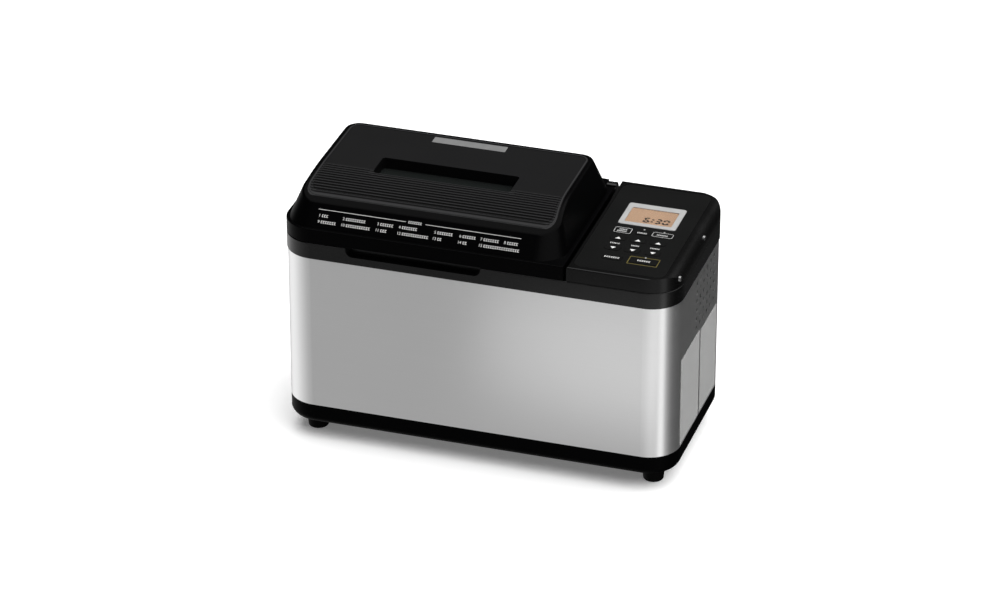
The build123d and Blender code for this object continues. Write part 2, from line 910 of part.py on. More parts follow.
def key(name):
    """One key: a pad that shows through the overlay, and a wider foot that keeps it in."""
    dx, y, length, across = keys[name]
    x = panel_middle + dx
    foot_top = -key_flange_drop
    foot_low = foot_top - key_flange_height
    pad = panel_prism(length, across, key_radius, x, y, foot_low, key_rise)
    grow = 2 * (key_gap + key_flange)
    return pad + panel_prism(length + grow, across + grow, key_radius, x, y, foot_low, foot_top)


def lcd_bezel():
    """Silver frame round the display, lying on the overlay."""
    x, y = lcd_place()
    frame = panel_prism(lcd_bezel_length, lcd_bezel_depth, bezel_radius, x, y, 0, bezel_rise)
    top = frame.faces().sort_by(Axis(panel_plane.origin, panel_plane.z_dir))[-1]
    return chamfer(top.edges(), bezel_chamfer) - lcd_view(0, -through, through)


def lcd_lens():
    """Clear pane that fills the bezel."""
    return lcd_view(-lens_clearance, -overlay, lens_rise)


def lcd_module():
    """Display glass with its backlight block, standing on the control board under the lens."""
    return lcd_view(lcd_hole_margin / 2, -board_drop, -overlay - switch_gap)


def control_board():
    """Circuit board under the panel with one push switch below each key and a processor."""
    low = -board_drop - board_sheet
    board = panel_prism(control_board_length, control_board_depth, key_radius,
                        panel_middle + control_board_x, control_board_y, low, -board_drop)
    stem_top = -key_flange_drop - key_flange_height - key_travel - switch_gap
    switch_top = stem_top - switch_stem
    for dx, y, length, across in keys.values():
        x = panel_middle + dx
        board += panel_prism(switch_size, switch_size, 0.5, x, y, -board_drop - switch_gap, switch_top)
        board += panel_plane.location * Pos(x, y + half_depth, switch_top) * Cylinder(
            switch_stem_radius, 2 * switch_stem)
    x, y = panel_middle + control_board_x + processor_x, control_board_y + processor_y
    board += panel_prism(processor_size, processor_size, 0.5, x, y, low - processor_height, low + switch_gap)
    return board


def screw_solid(y, clearance):
    """A screw into the panel's rounded right shoulder, with clearance added all round."""
    z = panel_front_height + (y + half_depth) * math.tan(tilt) - screw_drop
    rise = shoulder_radius - screw_drop
    face = half_width - shoulder_radius + math.sqrt(shoulder_radius**2 - rise**2)
    shank = along_x(screw_radius + clearance, face - screw_length, face, y, z)
    head_radius = screw_head_radius + clearance
    return shank + along_x(head_radius, face - screw_head_depth, face + screw_head_rise, y, z)


def side_screws():
    """Two bright screws in the right side of the panel housing."""
    return Compound(children=[screw_solid(y, 0) for y in screw_ys])


def baking_chamber():
    """Deep drawn oven box with a flange that hangs on the deck, open at the top."""
    length, across = chamber_length + 2 * sheet, chamber_depth + 2 * sheet
    outer = chamber_place(length, across, chamber_radius, chamber_floor, deck_top)
    outer = fillet(outer.edges().group_by(Axis.Z)[0], chamber_bend + sheet)
    floor = chamber_floor + sheet
    inner = chamber_place(chamber_length, chamber_depth, chamber_radius - sheet, floor, frame_top)
    inner = fillet(inner.edges().group_by(Axis.Z)[0], chamber_bend)
    grow = 2 * chamber_flange
    flange = chamber_place(length + grow, across + grow, chamber_radius + chamber_flange, deck_top,
                           deck_top + sheet)
    box = outer + flange - inner
    for x in blade_xs.values():
        box -= upright(shaft_radius + shaft_hole_gap, chamber_floor - 1, chamber_floor + 2 * sheet, x)
    wall = lid_middle + chamber_length / 2
    for y in (-heater_tail_y, heater_tail_y):
        box -= along_x(rod_radius + heater_hole_gap, wall - through, wall + through, y, heater_z)
    front = -chamber_depth / 2
    box -= along_y(probe_radius + bracket_clearance, front - through, front + through, lid_middle, probe_z)
    return box


def main_heater():
    """Sheathed heater round the foot of the pan, with both tails out through the chamber's right wall."""
    half_y = chamber_depth / 2 - heater_gap_y
    left = lid_middle - chamber_length / 2 + heater_gap_x
    right = lid_middle + chamber_length / 2 - heater_gap_x
    end = lid_middle + chamber_length / 2 + heater_tail
    y, z = heater_tail_y, heater_z
    corner, turn = heater_bend, heater_tail_bend
    path = FilletPolyline(
        (end, -y, z), (right, -y, z), (right, -half_y, z), (left, -half_y, z),
        (left, half_y, z), (right, half_y, z), (right, y, z), (end, y, z),
        radius=[turn, corner, corner, corner, corner, turn],
    )
    return rod_along(path, rod_radius)


def heater_brackets():
    """Four upright clips on the chamber floor that carry the heater."""
    group = []
    half_y = chamber_depth / 2 - heater_gap_y
    floor = chamber_floor + sheet
    for x in (lid_middle - clip_spread, lid_middle + clip_spread):
        x0, x1 = x - clip_sheet / 2, x + clip_sheet / 2
        for y, inward in ((-half_y, 1), (half_y, -1)):
            clip = block(x0, x1, y - clip_radius, y + clip_radius, floor + clip_step, heater_z)
            clip += along_x(clip_radius, x0, x1, y, heater_z)
            near, far = sorted((y + inward * clip_radius, y + inward * clip_reach))
            clip += block(x0, x1, near, far, floor, heater_z - clip_step)
            hole = along_x(rod_radius + bracket_clearance, x - through, x + through, y, heater_z)
            group.append(clip - hole)
    return Compound(children=group)


def temperature_probe():
    """Sensor pushed through the front wall of the chamber, with a collar outside."""
    inside = -chamber_depth / 2
    outside = inside - sheet
    tip = along_y(probe_radius, outside - probe_tail, inside + probe_tip, lid_middle, probe_z)
    tip = fillet(tip.edges().group_by(Axis.Y)[-1], 0.6 * probe_radius)
    return tip + along_y(probe_collar_radius, outside - probe_collar, outside, lid_middle, probe_z)


def pan_block(inset, low):
    """The pan's flared body as a solid, drawn in by inset."""
    sections = []
    for z, flare in ((low, 0.0), (pan_top, pan_flare)):
        grow = 2 * (flare + pan_wall - inset)
        plan = RectangleRounded(pan_length + grow, pan_width + grow, pan_radius + pan_wall - inset)
        sections.append(Pos(lid_middle, 0, z) * plan)
    return loft(sections)


def loaf_pan():
    """Flared loaf pan with a rolled rim, two holes for the blade shafts and ears for the wire handles."""
    outer = pan_block(0, pan_bottom)
    outer = fillet(outer.edges().group_by(Axis.Z)[0], pan_bend)
    inner = pan_block(pan_wall, pan_bottom + pan_wall)
    inner = fillet(inner.edges().group_by(Axis.Z)[0], pan_inner_bend)
    grow = pan_flare + pan_wall + pan_rim
    rim = prism(pan_length + 2 * grow, pan_width + 2 * grow, pan_radius + pan_wall + pan_rim,
                pan_top - rim_height, pan_top, x=lid_middle)
    levels = rim.edges().group_by(Axis.Z)
    pan = outer + fillet(levels[0] + levels[-1], rim_radius)
    half_ear = ear_sheet / 2
    for end in (-1, 1):
        x, z = handle_pivot(end)
        wall = lid_middle + end * (pan_length + pan_flare) / 2
        for y in (-ear_y, ear_y):
            x0, x1 = sorted((wall, x + end * ear_radius))
            ear = block(x0, x1, y - half_ear, y + half_ear, pan_top - ear_drop, z)
            ear += along_y(ear_radius, y - half_ear, y + half_ear, x, z)
            x0, x1 = sorted((wall, x - end * ear_radius))
            ear -= block(x0, x1, y - through, y + through, pan_top, z + through)
            pan += ear
            pan -= along_y(wire_radius + running_fit, y - through, y + through, x, z)
    pan -= inner
    for x in blade_xs.values():
        pan -= upright(seal_radius, pan_bottom - 1, pan_bottom + 2 * pan_wall, x)
    return pan


def handle_pivot(end):
    """Pivot of the wire handle at one end of the pan: its X and Z."""
    x = lid_middle + end * (pan_length / 2 + pan_flare + pan_wall + pan_rim + handle_pivot_out)
    return x, pan_top + handle_pivot_rise


def pan_handle(end):
    """Wire bail whose turned-in ends sit in the pan's ears, leaning a little outwards."""
    x, z = handle_pivot(end)
    inner_y = ear_y - handle_inside
    outer_y = ear_y + handle_outside
    path = FilletPolyline(
        (0, -inner_y, 0), (0, -outer_y, 0), (0, -outer_y, handle_reach),
        (0, outer_y, handle_reach), (0, outer_y, 0), (0, inner_y, 0),
        radius=[handle_end_bend, handle_bend, handle_bend, handle_end_bend],
    )
    return Pos(x, 0, z) * Rot(0, end * handle_lean, 0) * rod_along(path, wire_radius)


def pan_foot():
    """Stamped ring under the pan that drops between the springs on the chamber floor."""
    low = chamber_floor + sheet + floor_gap
    ring = prism(pan_foot_length, pan_foot_width, pan_foot_radius, low, pan_bottom, x=lid_middle)
    length, across = pan_foot_length - 2 * pan_wall, pan_foot_width - 2 * pan_wall
    return ring - prism(length, across, pan_foot_radius - pan_wall, low, pan_bottom, x=lid_middle)


def pan_springs():
    """Two bowed leaf springs on the chamber floor that grip the pan's foot."""
    floor = chamber_floor + sheet + spring_sheet / 2
    near = pan_foot_width / 2 + spring_gap + spring_sheet / 2
    strip = Polyline((near + 12.5, floor), (near + 3.5, floor), (near, floor + 0.6 * spring_height),
                     (near + 5.5, floor + spring_height))
    face = make_face(offset(strip, spring_sheet / 2, kind=Kind.INTERSECTION).edges())
    leaf = extrude(Plane.YZ * face, spring_width / 2, both=True)
    return Compound(children=[Pos(lid_middle, 0, 0) * leaf, Pos(lid_middle, 0, 0) * mirror(leaf, Plane.XZ)])


def shaft_seals():
    """Two flanged bushes in the pan's floor that seal the blade shafts."""
    group = []
    floor = pan_bottom + pan_wall
    low = pan_bottom - seal_length
    high = floor + seal_flange_height
    for x in blade_xs.values():
        bush = upright(seal_radius, low, floor, x)
        bush += upright(seal_radius + seal_flange, floor, high, x)
        bush += upright(seal_radius + seal_flange, pan_bottom - seal_flange_height, pan_bottom, x)
        group.append(bush - upright(shaft_bore, low - 1, high + 1, x))
    return Compound(children=group)


def pan_shaft(side):
    """Blade shaft through the pan's floor, with a winged coupling below it."""
    x = blade_xs[side]
    low = chamber_floor + sheet + wing_rise
    wing = Pos(x, 0, low) * extrude(SlotOverall(wing_length, wing_width), wing_height)
    return wing + upright(shaft_radius, low, pan_bottom + shaft_top, x)


def kneading_blade(side):
    """Kneading blade: a hub on the shaft and one curved, tapering fin."""
    x = blade_xs[side]
    low = pan_bottom + pan_wall + blade_floor_gap
    hub = Pos(x, 0, low) * extrude(Circle(blade_hub_radius), 0.7 * blade_height, taper=blade_taper)
    # The fin's sections: share of its reach, how far it is swept back, share of its height, thickness.
    shapes = ((0.09, 0.0, 1.0, 9.0), (0.55, 3.0, 0.95, 6.5), (1.0, 11.0, 0.55, 3.5))
    sections = []
    for reach, swept, height, thick in shapes:
        tall = blade_height * height
        middle = (x + reach * blade_reach, swept, low + tall / 2)
        place = Plane(origin=middle, x_dir=(0, 1, 0), z_dir=(1, 0, 0))
        sections.append(place * RectangleRounded(thick, tall, 0.45 * thick))
    blade = hub + loft(sections)
    return blade - upright(shaft_bore, low - 1, pan_bottom + shaft_top + switch_gap, x)


def chassis_plate():
    """Steel plate on the tray's bosses that carries the bearings, the motor and the power board."""
    length = width - 2 * chassis_inset
    across = depth - 2 * chassis_inset
    top = chassis_z + chassis_sheet
    plate = prism(length, across, corner_radius - chassis_inset, chassis_z, top)
    for x in blade_xs.values():
        plate -= upright(bearing_radius, chassis_z - 1, top + 1, x)
    plate -= upright(motor_pulley_radius + pulley_flange_rise + 1, chassis_z - 1, top + 1, motor_x)
    for x in (panel_left + tab_left, half_width - tab_right):
        plate += block(x - tab_width / 2, x + tab_width / 2, board_face - chassis_sheet, board_face,
                       chassis_z, chassis_z + tab_height)
    return plate


def shaft_bearings():
    """Two flanged bearing bushes in the chassis, reaching up to the chamber floor."""
    group = []
    top = chassis_z + chassis_sheet
    low = chassis_z - bearing_drop
    for x in blade_xs.values():
        bush = upright(bearing_radius, low, chamber_floor, x)
        bush += upright(bearing_radius + bearing_flange, top, top + bearing_flange_height, x)
        group.append(bush - upright(shaft_bore, low - 1, chamber_floor + 1, x))
    return Compound(children=group)


def drive_shaft(side):
    """Drive shaft with its coupling on top: a disc with two prongs that push the pan shaft's wings."""
    x = blade_xs[side]
    disc_low = chamber_floor + sheet + coupling_gap
    disc_top = disc_low + coupling_disc
    high = disc_top + prong_height
    shaft = upright(shaft_radius, cross_pulley_z - 2, disc_low, x)
    prongs = upright(prong_radius, disc_top, high, x) - upright(prong_bore, disc_top - 1, high + 1, x)
    prongs -= block(x - 2 * prong_radius, x + 2 * prong_radius, -prong_gap / 2, prong_gap / 2,
                    disc_top - 1, high + 1)
    return shaft + upright(coupling_radius, disc_low, disc_top, x) + prongs


def pulley_wheel(radius, low, x, hub_radius, holes):
    """Flanged belt pulley: rim, thin web with lightening holes and hub, bored for its shaft."""
    high = low + pulley_height
    wheel = upright(radius, low, high, x)
    wheel += upright(radius + pulley_flange_rise, low, low + pulley_flange, x)
    wheel += upright(radius + pulley_flange_rise, high - pulley_flange, high, x)
    if holes:
        inside = radius - pulley_rim
        middle = (low + high) / 2
        recess = upright(inside, low, high, x) - upright(hub_radius, low, high, x)
        wheel -= recess - upright(radius, middle - pulley_web / 2, middle + pulley_web / 2, x)
        ring = (inside + hub_radius) / 2
        hole_radius = (inside - hub_radius) / 3
        for number in range(holes):
            angle = 2 * math.pi * number / holes
            wheel -= upright(hole_radius, low, high, x + ring * math.cos(angle), ring * math.sin(angle))
    return wheel - upright(shaft_radius, low - 1, high + 1, x)


def double_pulley():
    """Stepped pulley on the right shaft: a large wheel for the motor's belt over one for the cross belt."""
    x = blade_xs["right"]
    wheel = pulley_wheel(main_pulley_radius, main_pulley_z, x, main_hub_radius, 6)
    wheel += pulley_wheel(cross_pulley_radius, cross_pulley_z, x, cross_hub_radius, 5)
    wheel += upright(cross_hub_radius, cross_pulley_z + pulley_height, main_pulley_z, x)
    return wheel - upright(shaft_radius, cross_pulley_z, main_pulley_z + pulley_height, x)


def belt(x0, radius0, x1, radius1, low):
    """Flat belt round two pulleys, running clear of their rims and flanges."""
    z0 = low + pulley_flange + belt_edge_gap
    z1 = low + pulley_height - pulley_flange - belt_edge_gap

    def loop(grow):
        angle = math.degrees(math.acos((radius0 - radius1) / (x1 - x0)))
        big, small = radius0 + grow, radius1 + grow
        arc0 = CenterArc((x0, 0), big, angle, 360 - 2 * angle)
        arc1 = CenterArc((x1, 0), small, -angle, 2 * angle)
        return make_face(arc0 + arc1 + Line(arc0 @ 1, arc1 @ 0) + Line(arc1 @ 1, arc0 @ 0))

    ring = loop(belt_gap + belt_thickness) - loop(belt_gap)
    return extrude(Pos(0, 0, z0) * ring, z1 - z0)


def motor_stator():
    """Laminated motor core: a square stack with rounded corners, slotted round its bore."""
    core = prism(stator_size, stator_size, stator_corner, stator_low, stator_high, x=motor_x)
    bore = rotor_radius + air_gap
    low, high = stator_low - 1, stator_high + 1
    core -= upright(bore, low, high, motor_x)
    for number in range(stator_slots):
        slot = block(bore - 1, bore + slot_depth, -slot_width / 2, slot_width / 2, low, high)
        core -= Pos(motor_x, 0, 0) * Rot(0, 0, (number + 0.5) * 360 / stator_slots) * slot
    return core


def motor_windings():
    """Copper coil heads above and below the motor core."""
    group = []
    for low, outer_end in ((stator_low - coil_height, 0), (stator_high, -1)):
        high = low + coil_height
        ring = upright(coil_radius, low, high, motor_x)
        ring -= upright(rotor_radius + coil_gap, low - 1, high + 1, motor_x)
        group.append(fillet(ring.edges().group_by(Axis.Z)[outer_end], coil_edge_radius))
    return Compound(children=group)


def motor_brackets():
    """Cast end brackets of the motor; the lower one has the mounting plate."""
    low = stator_low - bracket_height
    size = 2 * mount_spread + bracket_margin
    plate = prism(size, size, bracket_margin / 2, low, low + bracket_wall)
    lower = bracket_cup() + plate - upright(shaft_bore, low - 1, low + 2 * bracket_wall)
    upper = mirror(bracket_cup(), Plane.XY.offset((stator_low + stator_high) / 2))
    return Compound(children=[Pos(motor_x, 0, 0) * lower, Pos(motor_x, 0, 0) * upper])


def bracket_cup():
    """One cast motor bracket at the origin: a cup with cooling windows and a bearing boss."""
    low = stator_low - bracket_height
    floor = low + bracket_wall
    cup = upright(bracket_radius, low, stator_low)
    cup -= upright(bracket_radius - bracket_wall, floor, stator_low + 1)
    cup += upright(bracket_boss_radius, low, low + bracket_boss)
    half = bracket_window / 2
    window = block(bracket_radius - half, bracket_radius + half, -half, half,
                   floor + 2, stator_low - bracket_wall)
    for number in range(bracket_windows):
        cup -= Rot(0, 0, (number + 0.5) * 360 / bracket_windows) * window
    return cup - upright(shaft_bore, low - 1, stator_low)


def motor_mounts():
    """Four rubber cushions between the motor and the chassis."""
    low = chassis_z + chassis_sheet
    high = stator_low - bracket_height
    waist = upright(mount_radius, low, high) - upright(mount_radius + 1, low + mount_lip, high - mount_lip)
    waist += upright(mount_radius - mount_waist, low, high)
    group = []
    for dx in (-mount_spread, mount_spread):
        for y in (-mount_spread, mount_spread):
            group.append(Pos(motor_x + dx, y, 0) * waist)
    return Compound(children=group)


def motor_rotor():
    """Rotor core with its end rings on the motor shaft, which runs down through the chassis."""
    rotor = upright(rotor_radius, stator_low, stator_high, motor_x)
    rotor += upright(rotor_radius - ring_step, stator_low - ring_height, stator_high + ring_height, motor_x)
    top = stator_high + bracket_height + shaft_end
    return rotor + upright(shaft_radius, main_pulley_z - 2, top, motor_x)


def power_board():
    """Power circuit board, screwed to the chassis tabs at the front of the right compartment."""
    low = chassis_z + power_board_rise
    return block(panel_left + power_board_left, half_width - power_board_right,
                 board_face, board_face + board_sheet, low, low + power_board_height)


def board_parts():
    """The larger parts on the power board: transformer, relays, motor capacitor and terminal block."""
    face = board_face + board_sheet
    corner = Pos(panel_left + power_board_left, face, chassis_z + power_board_rise)
    # Each block: left, right, how far it stands off the board, low and high from the board's corner.
    transformer = block(8, 42, 0, 28, 52, 88) + block(14, 36, 0, 32, 58, 82)
    relays = [block(50, 68, 0, 15, 60, 84), block(72, 90, 0, 15, 60, 84)]
    capacitor = prism(36, 18, 4, 24, 46, x=28, y=9)
    terminals = block(54, 90, 0, 12, 20, 32)
    for number in range(terminal_count):
        x = 56 + number * terminal_pitch
        terminals -= block(x, x + terminal_pitch / 2, 5, 20, 22, 30)
    return Compound(children=[corner * piece for piece in (transformer, *relays, capacitor, terminals)])


def all_parts():
    """Every piece of the machine by name."""
    pieces = {
        "base_tray": base_tray(),
        "feet": feet(),
        "body_wrap": body_wrap(),
        "rear_panel": rear_panel(),
        "cord_gland": cord_gland(),
        "upper_frame": upper_frame(),
        "hinge_pins": hinge_pins(),
        "lid_cover": lid_cover(),
        "lid_window": lid_window(),
        "lid_liner": lid_liner(),
        "lid_inner_glass": lid_inner_glass(),
        "lid_heater": lid_heater(),
        "control_housing": control_housing(),
        "control_overlay": control_overlay(),
        "lcd_bezel": lcd_bezel(),
        "lcd_lens": lcd_lens(),
        "lcd_module": lcd_module(),
        "control_board": control_board(),
        "side_screws": side_screws(),
        "baking_chamber": baking_chamber(),
        "main_heater": main_heater(),
        "heater_brackets": heater_brackets(),
        "temperature_probe": temperature_probe(),
        "pan_springs": pan_springs(),
        "loaf_pan": loaf_pan(),
        "pan_foot": pan_foot(),
        "shaft_seals": shaft_seals(),
        "pan_handle_left": pan_handle(-1),
        "pan_handle_right": pan_handle(1),
        "chassis_plate": chassis_plate(),
        "shaft_bearings": shaft_bearings(),
        "motor_stator": motor_stator(),
        "motor_windings": motor_windings(),
        "motor_brackets": motor_brackets(),
        "motor_mounts": motor_mounts(),
        "motor_rotor": motor_rotor(),
        "motor_pulley": pulley_wheel(motor_pulley_radius, main_pulley_z, motor_x, motor_pulley_radius, 0),
        "power_board": power_board(),
        "board_parts": board_parts(),
    }
    for side in blade_xs:
        pieces[f"pan_shaft_{side}"] = pan_shaft(side)
        pieces[f"kneading_blade_{side}"] = kneading_blade(side)
        pieces[f"drive_shaft_{side}"] = drive_shaft(side)
    left_x, main_x = blade_xs["left"], blade_xs["right"]
    pieces["cross_pulley"] = pulley_wheel(cross_pulley_radius, cross_pulley_z, left_x, cross_hub_radius, 5)
    pieces["double_pulley"] = double_pulley()
    pieces["main_belt"] = belt(main_x, main_pulley_radius, motor_x, motor_pulley_radius, main_pulley_z)
    pieces["cross_belt"] = belt(left_x, cross_pulley_radius, main_x, cross_pulley_radius, cross_pulley_z)
    for name in keys:
        pieces[name] = key(name)
    return pieces


os.makedirs("parts", exist_ok=True)
for name, piece in all_parts().items():
    export_step(piece, f"parts/{name}.step")
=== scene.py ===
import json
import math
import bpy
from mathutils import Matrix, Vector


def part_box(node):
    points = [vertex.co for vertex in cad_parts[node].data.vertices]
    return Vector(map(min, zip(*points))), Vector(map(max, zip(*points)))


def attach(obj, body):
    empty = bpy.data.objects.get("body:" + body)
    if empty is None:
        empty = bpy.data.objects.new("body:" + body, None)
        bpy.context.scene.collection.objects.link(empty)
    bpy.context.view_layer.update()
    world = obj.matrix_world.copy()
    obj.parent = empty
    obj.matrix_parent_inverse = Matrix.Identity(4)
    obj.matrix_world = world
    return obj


bl_info = {
    "name": "Bread Machine Finish",
    "version": (1, 0, 0),
    "blender": (4, 5, 0),
    "location": "3D View > Sidebar > Bread Machine",
    "description": "Finishes, printed marks and a studio stage for a countertop bread machine",
    "category": "Object",
}

import bpy
from bpy.props import FloatProperty, FloatVectorProperty, PointerProperty
from mathutils import Matrix, Vector

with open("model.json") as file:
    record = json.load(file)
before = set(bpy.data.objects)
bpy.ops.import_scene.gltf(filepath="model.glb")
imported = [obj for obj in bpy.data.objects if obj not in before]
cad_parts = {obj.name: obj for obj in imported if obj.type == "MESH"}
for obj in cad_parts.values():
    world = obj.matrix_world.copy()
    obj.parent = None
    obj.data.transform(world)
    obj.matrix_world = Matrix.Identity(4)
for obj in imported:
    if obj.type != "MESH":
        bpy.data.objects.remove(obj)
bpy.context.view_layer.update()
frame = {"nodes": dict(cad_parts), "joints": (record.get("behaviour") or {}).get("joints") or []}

MM = 0.001

# Places that the machine's own pieces give
JOINTS = {joint["name"]: joint for joint in frame["joints"]}
PANEL_NORMAL = -Vector(JOINTS["start_press"]["axis"]).normalized()
PANEL_SLOPE = -PANEL_NORMAL.y / PANEL_NORMAL.z
LID_LOW, LID_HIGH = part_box("lid_cover")
WRAP_LOW, WRAP_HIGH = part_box("body_wrap")
SCREWS_LOW, SCREWS_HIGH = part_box("side_screws")
HOUSING_LOW, HOUSING_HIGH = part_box("control_housing")
PANEL_MIDDLE = (HOUSING_LOW.x + HOUSING_HIGH.x) / 2
OVERLAY_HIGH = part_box("control_overlay")[1]
DISPLAY_LOW, DISPLAY_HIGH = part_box("lcd_module")
DISPLAY_MIDDLE = (DISPLAY_LOW + DISPLAY_HIGH) / 2

# How far a printed mark stands over what carries it, and how far a key's marks are lifted off its top
INK = 0.06 * MM
KEY_LIFT = INK / 4

# The foil plates on the right side: each one's front edge, rear edge and top, in millimetres
SIDE_PLATES = ((-75, 0, 155), (5, 71, 152))
SIDE_PLATE_FOOT = WRAP_LOW.z + 2 * MM
SIDE_PLATE_CORNER = 1.5 * MM
SIDE_PLATE_THICKNESS = 0.15 * MM

# The screw heads' radius, and the bars of the dark crosses on them, which are painted shade
# where the cross recesses lie
SCREW_RADIUS = 3.2 * MM
CROSS_LENGTH = 3.6 * MM
CROSS_WIDTH = 0.8 * MM

# The lid's dome: its walls lean in from a ledge, by so much of the rise, and a bead runs inside their tops,
# with a painted highlight along it
DOME_FOOT = 267.5 * MM
DOME_LEDGE = 4 * MM
DOME_CORNER = 16 * MM
FRONT_LEAN = 0.80
BACK_LEAN = 0.51
END_LEAN = 0.375
BEAD_INSET = 5 * MM
BEAD_WIDTH = 1.6 * MM
BEAD_FADE = 0.4 * MM

# The crown's finish starts at this height
CROWN_FOOT = 280 * MM
CROWN_FADE = 2 * MM

# How far up the normal of a face points: one under the first is steep, and one over the second isn't;
# steep faces get painted shade
PAINTED_SHADE_STEEPNESS = (0.5, 0.7)

# The crown's line, from the front: a straight slope to SLOPE_END and then a wide bend. The ribs across it
# start at a length along this line, and RIBS_END is the place behind which there are none. Painted
# highlights on the rib tops and painted shade between them follow this line
CROWN_LEAN = math.atan2(25.7, 70)
CROWN_RADIUS = 150 * MM
SLOPE_END = -62.5 * MM
RIB_START = 33.5 * MM
RIB_PITCH = 4.1 * MM
RIBS_END = -24 * MM
RIBS_FADE = 2 * MM

# The bare plate at the back of the crown
LID_PLATE_PLACE = Vector((-61, 66, 308.75)) * MM
LID_PLATE_NORMAL = Vector((0, -0.0068, 1))
LID_PLATE_SIZE = (86 * MM, 13 * MM)
LID_PLATE_CORNER = 1 * MM
LID_PLATE_THICKNESS = 0.12 * MM

# The printed list on the lid's front slope: each entry's number, its start and its length, in millimetres
COURSE_ROWS = (
    (
        (1, -184, 12), (2, -156, 27), (3, -116, 20), (4, -91, 22),
        (5, -50, 23), (6, -21, 19), (7, 3, 23), (8, 30, 16),
    ),
    (
        (9, -184, 23), (10, -157, 35), (11, -117, 15), (12, -92, 36),
        (13, -51, 12), (14, -22, 11), (15, 2, 47),
    ),
)
LIST_LINES = ((-185.5, -84.0), (-61.5, 48.5))
LIST_TITLE_START = -81
LIST_TITLE_LENGTH = 17
LIST_TOP = Vector((0, -90.2, 284.8)) * MM
LIST_NORMAL = Vector((0, -1, FRONT_LEAN))

# The heights of the title and the entries as shares of a number's height
TITLE_SHARE = 0.8
ENTRY_SHARE = 0.9

# The room that a number takes before its entry: a gap, and a width for each figure, in millimetres
NUMBER_GAP = 1.6
FIGURE_WIDTH = 2.3

# The height of a figure as a share of its letter size
FIGURE_SHARE = 0.73

# Marks on the keys: an outline's length and depth, and each word's length, height and place, in
# millimetres; an outline's stroke is a share of the usual one, and an arrow's depth of its length
KEY_OUTLINES = {"crust_key": (19.2, 12.2), "timer_key": (23.2, 10.2)}
KEY_OUTLINE_CORNER = 2 * MM
KEY_OUTLINE_STROKE = 0.75
KEY_WORDS = {
    "crust_key": ((9, 2.2, -4.5, 2), (12, 2.2, -6, -2.2)),
    "delay_key": ((11, 2.2, -5.5, -1.6),),
    "timer_key": ((13, 2.2, -6.5, -0.6),),
    "cancel_key": ((17, 3.0, -8.5, 0),),
    "start_key": ((14, 3.0, -7, 0),),
}
ARROW_COLUMNS = ("course", "hour", "minute")
ARROW_DEPTH = 0.7

# Marks on the panel round the keys, in millimetres: each word's start and length, and the places of the
# lamps and of the start key's outline, across from the panel's middle and along from the machine's
PANEL_WORDS = ((-32.5, 11), (-8.5, 9), (13, 11))
PANEL_WORDS_Y = -37.6
PANEL_WORD_HEIGHT = 2.2
LAMP_PLACES = ((-4.9, 1.6), (17.9, 1.6), (14.5, -61.2))
START_OUTLINE_PLACE = (14.5, -69.9)
START_OUTLINE_SIZE = (34.0 * MM, 17.4 * MM)
START_OUTLINE_CORNER = 1.2 * MM
START_OUTLINE_STROKE = 1.3

# The display's glow, which is painted light standing in for the room's light that the clear lens keeps off
# it
DISPLAY_PAINTED_LIGHT = 0.58

# Which segments of a digit are lit: top, upper left, upper right, middle, lower left, lower right, bottom
DIGITS = {"0": "1110111", "3": "1011011", "6": "1101111"}

# The time on the display: its place from the display's middle, and each digit's and the colon's along it
TIME_X = 7 * MM
TIME_Y = -6.5 * MM
TIME_DIGITS = (("6", -11 * MM), ("3", 2 * MM), ("0", 11 * MM))
COLON_PLACE = -4.5 * MM

# A digit's proportions as shares of its height, and the rounding of a segment as a share of its bar
DIGIT_BAR = 0.2
DIGIT_WIDTH = 0.52
COLON_RISE = 0.2
SEGMENT_ROUNDING = 0.3

# The stage: lengths in metres but for the camera's sensor, which is in millimetres, and directions from the
# front towards the right
FLOOR_SIZE = 24
FLOOR_GLOW = 0.16
SUN_AZIMUTH = math.radians(100)
SUN_ELEVATION = math.radians(70)
SUN_SPREAD = math.radians(96)
SUN_DISTANCE = 3
CARD_PLACE = (0.20, -0.41, 1 * MM)
CARD_SIZE = (0.60, 0.30)
SENSOR_WIDTH = 36
CAMERA_REACH = 60

# Brightness of the walls by direction in degrees, and the heights over which they fade to the upper level
WALL_LEVELS = (
    (-180, 0.06), (-164, 0.08), (-143, 0.6), (-118, 1.6), (-84, 1.5), (-66, 1.2), (-44, 0.9), (-18, 0.54),
    (16, 0.85), (36, 0.9), (54, 0.95), (70, 0.8), (84, 0.28), (100, 0.08), (130, 0.06), (180, 0.06),
)
WALLS_END = (-0.02, 0.25)
UPPER_LEVEL = 0.12

# A bright strip low at the right, which shines on the rounded corner of the trim: the middle of its
# direction and of its height, each with the half width of its bright part and of its whole
STRIP_TURN = (math.radians(56), math.radians(6), math.radians(14))
STRIP_HEIGHT = (-0.47, 0.06, 0.14)
STRIP_LEVEL = 2.9

# A quarter turn, which stretches highlights across the brush lines
ACROSS_BRUSHING = 0.25

# Sockets of the Mix node that hold colours, by number because others have the same names
MIX_FACTOR = 0
MIX_FIRST = 6
MIX_SECOND = 7
MIX_RESULT = 2


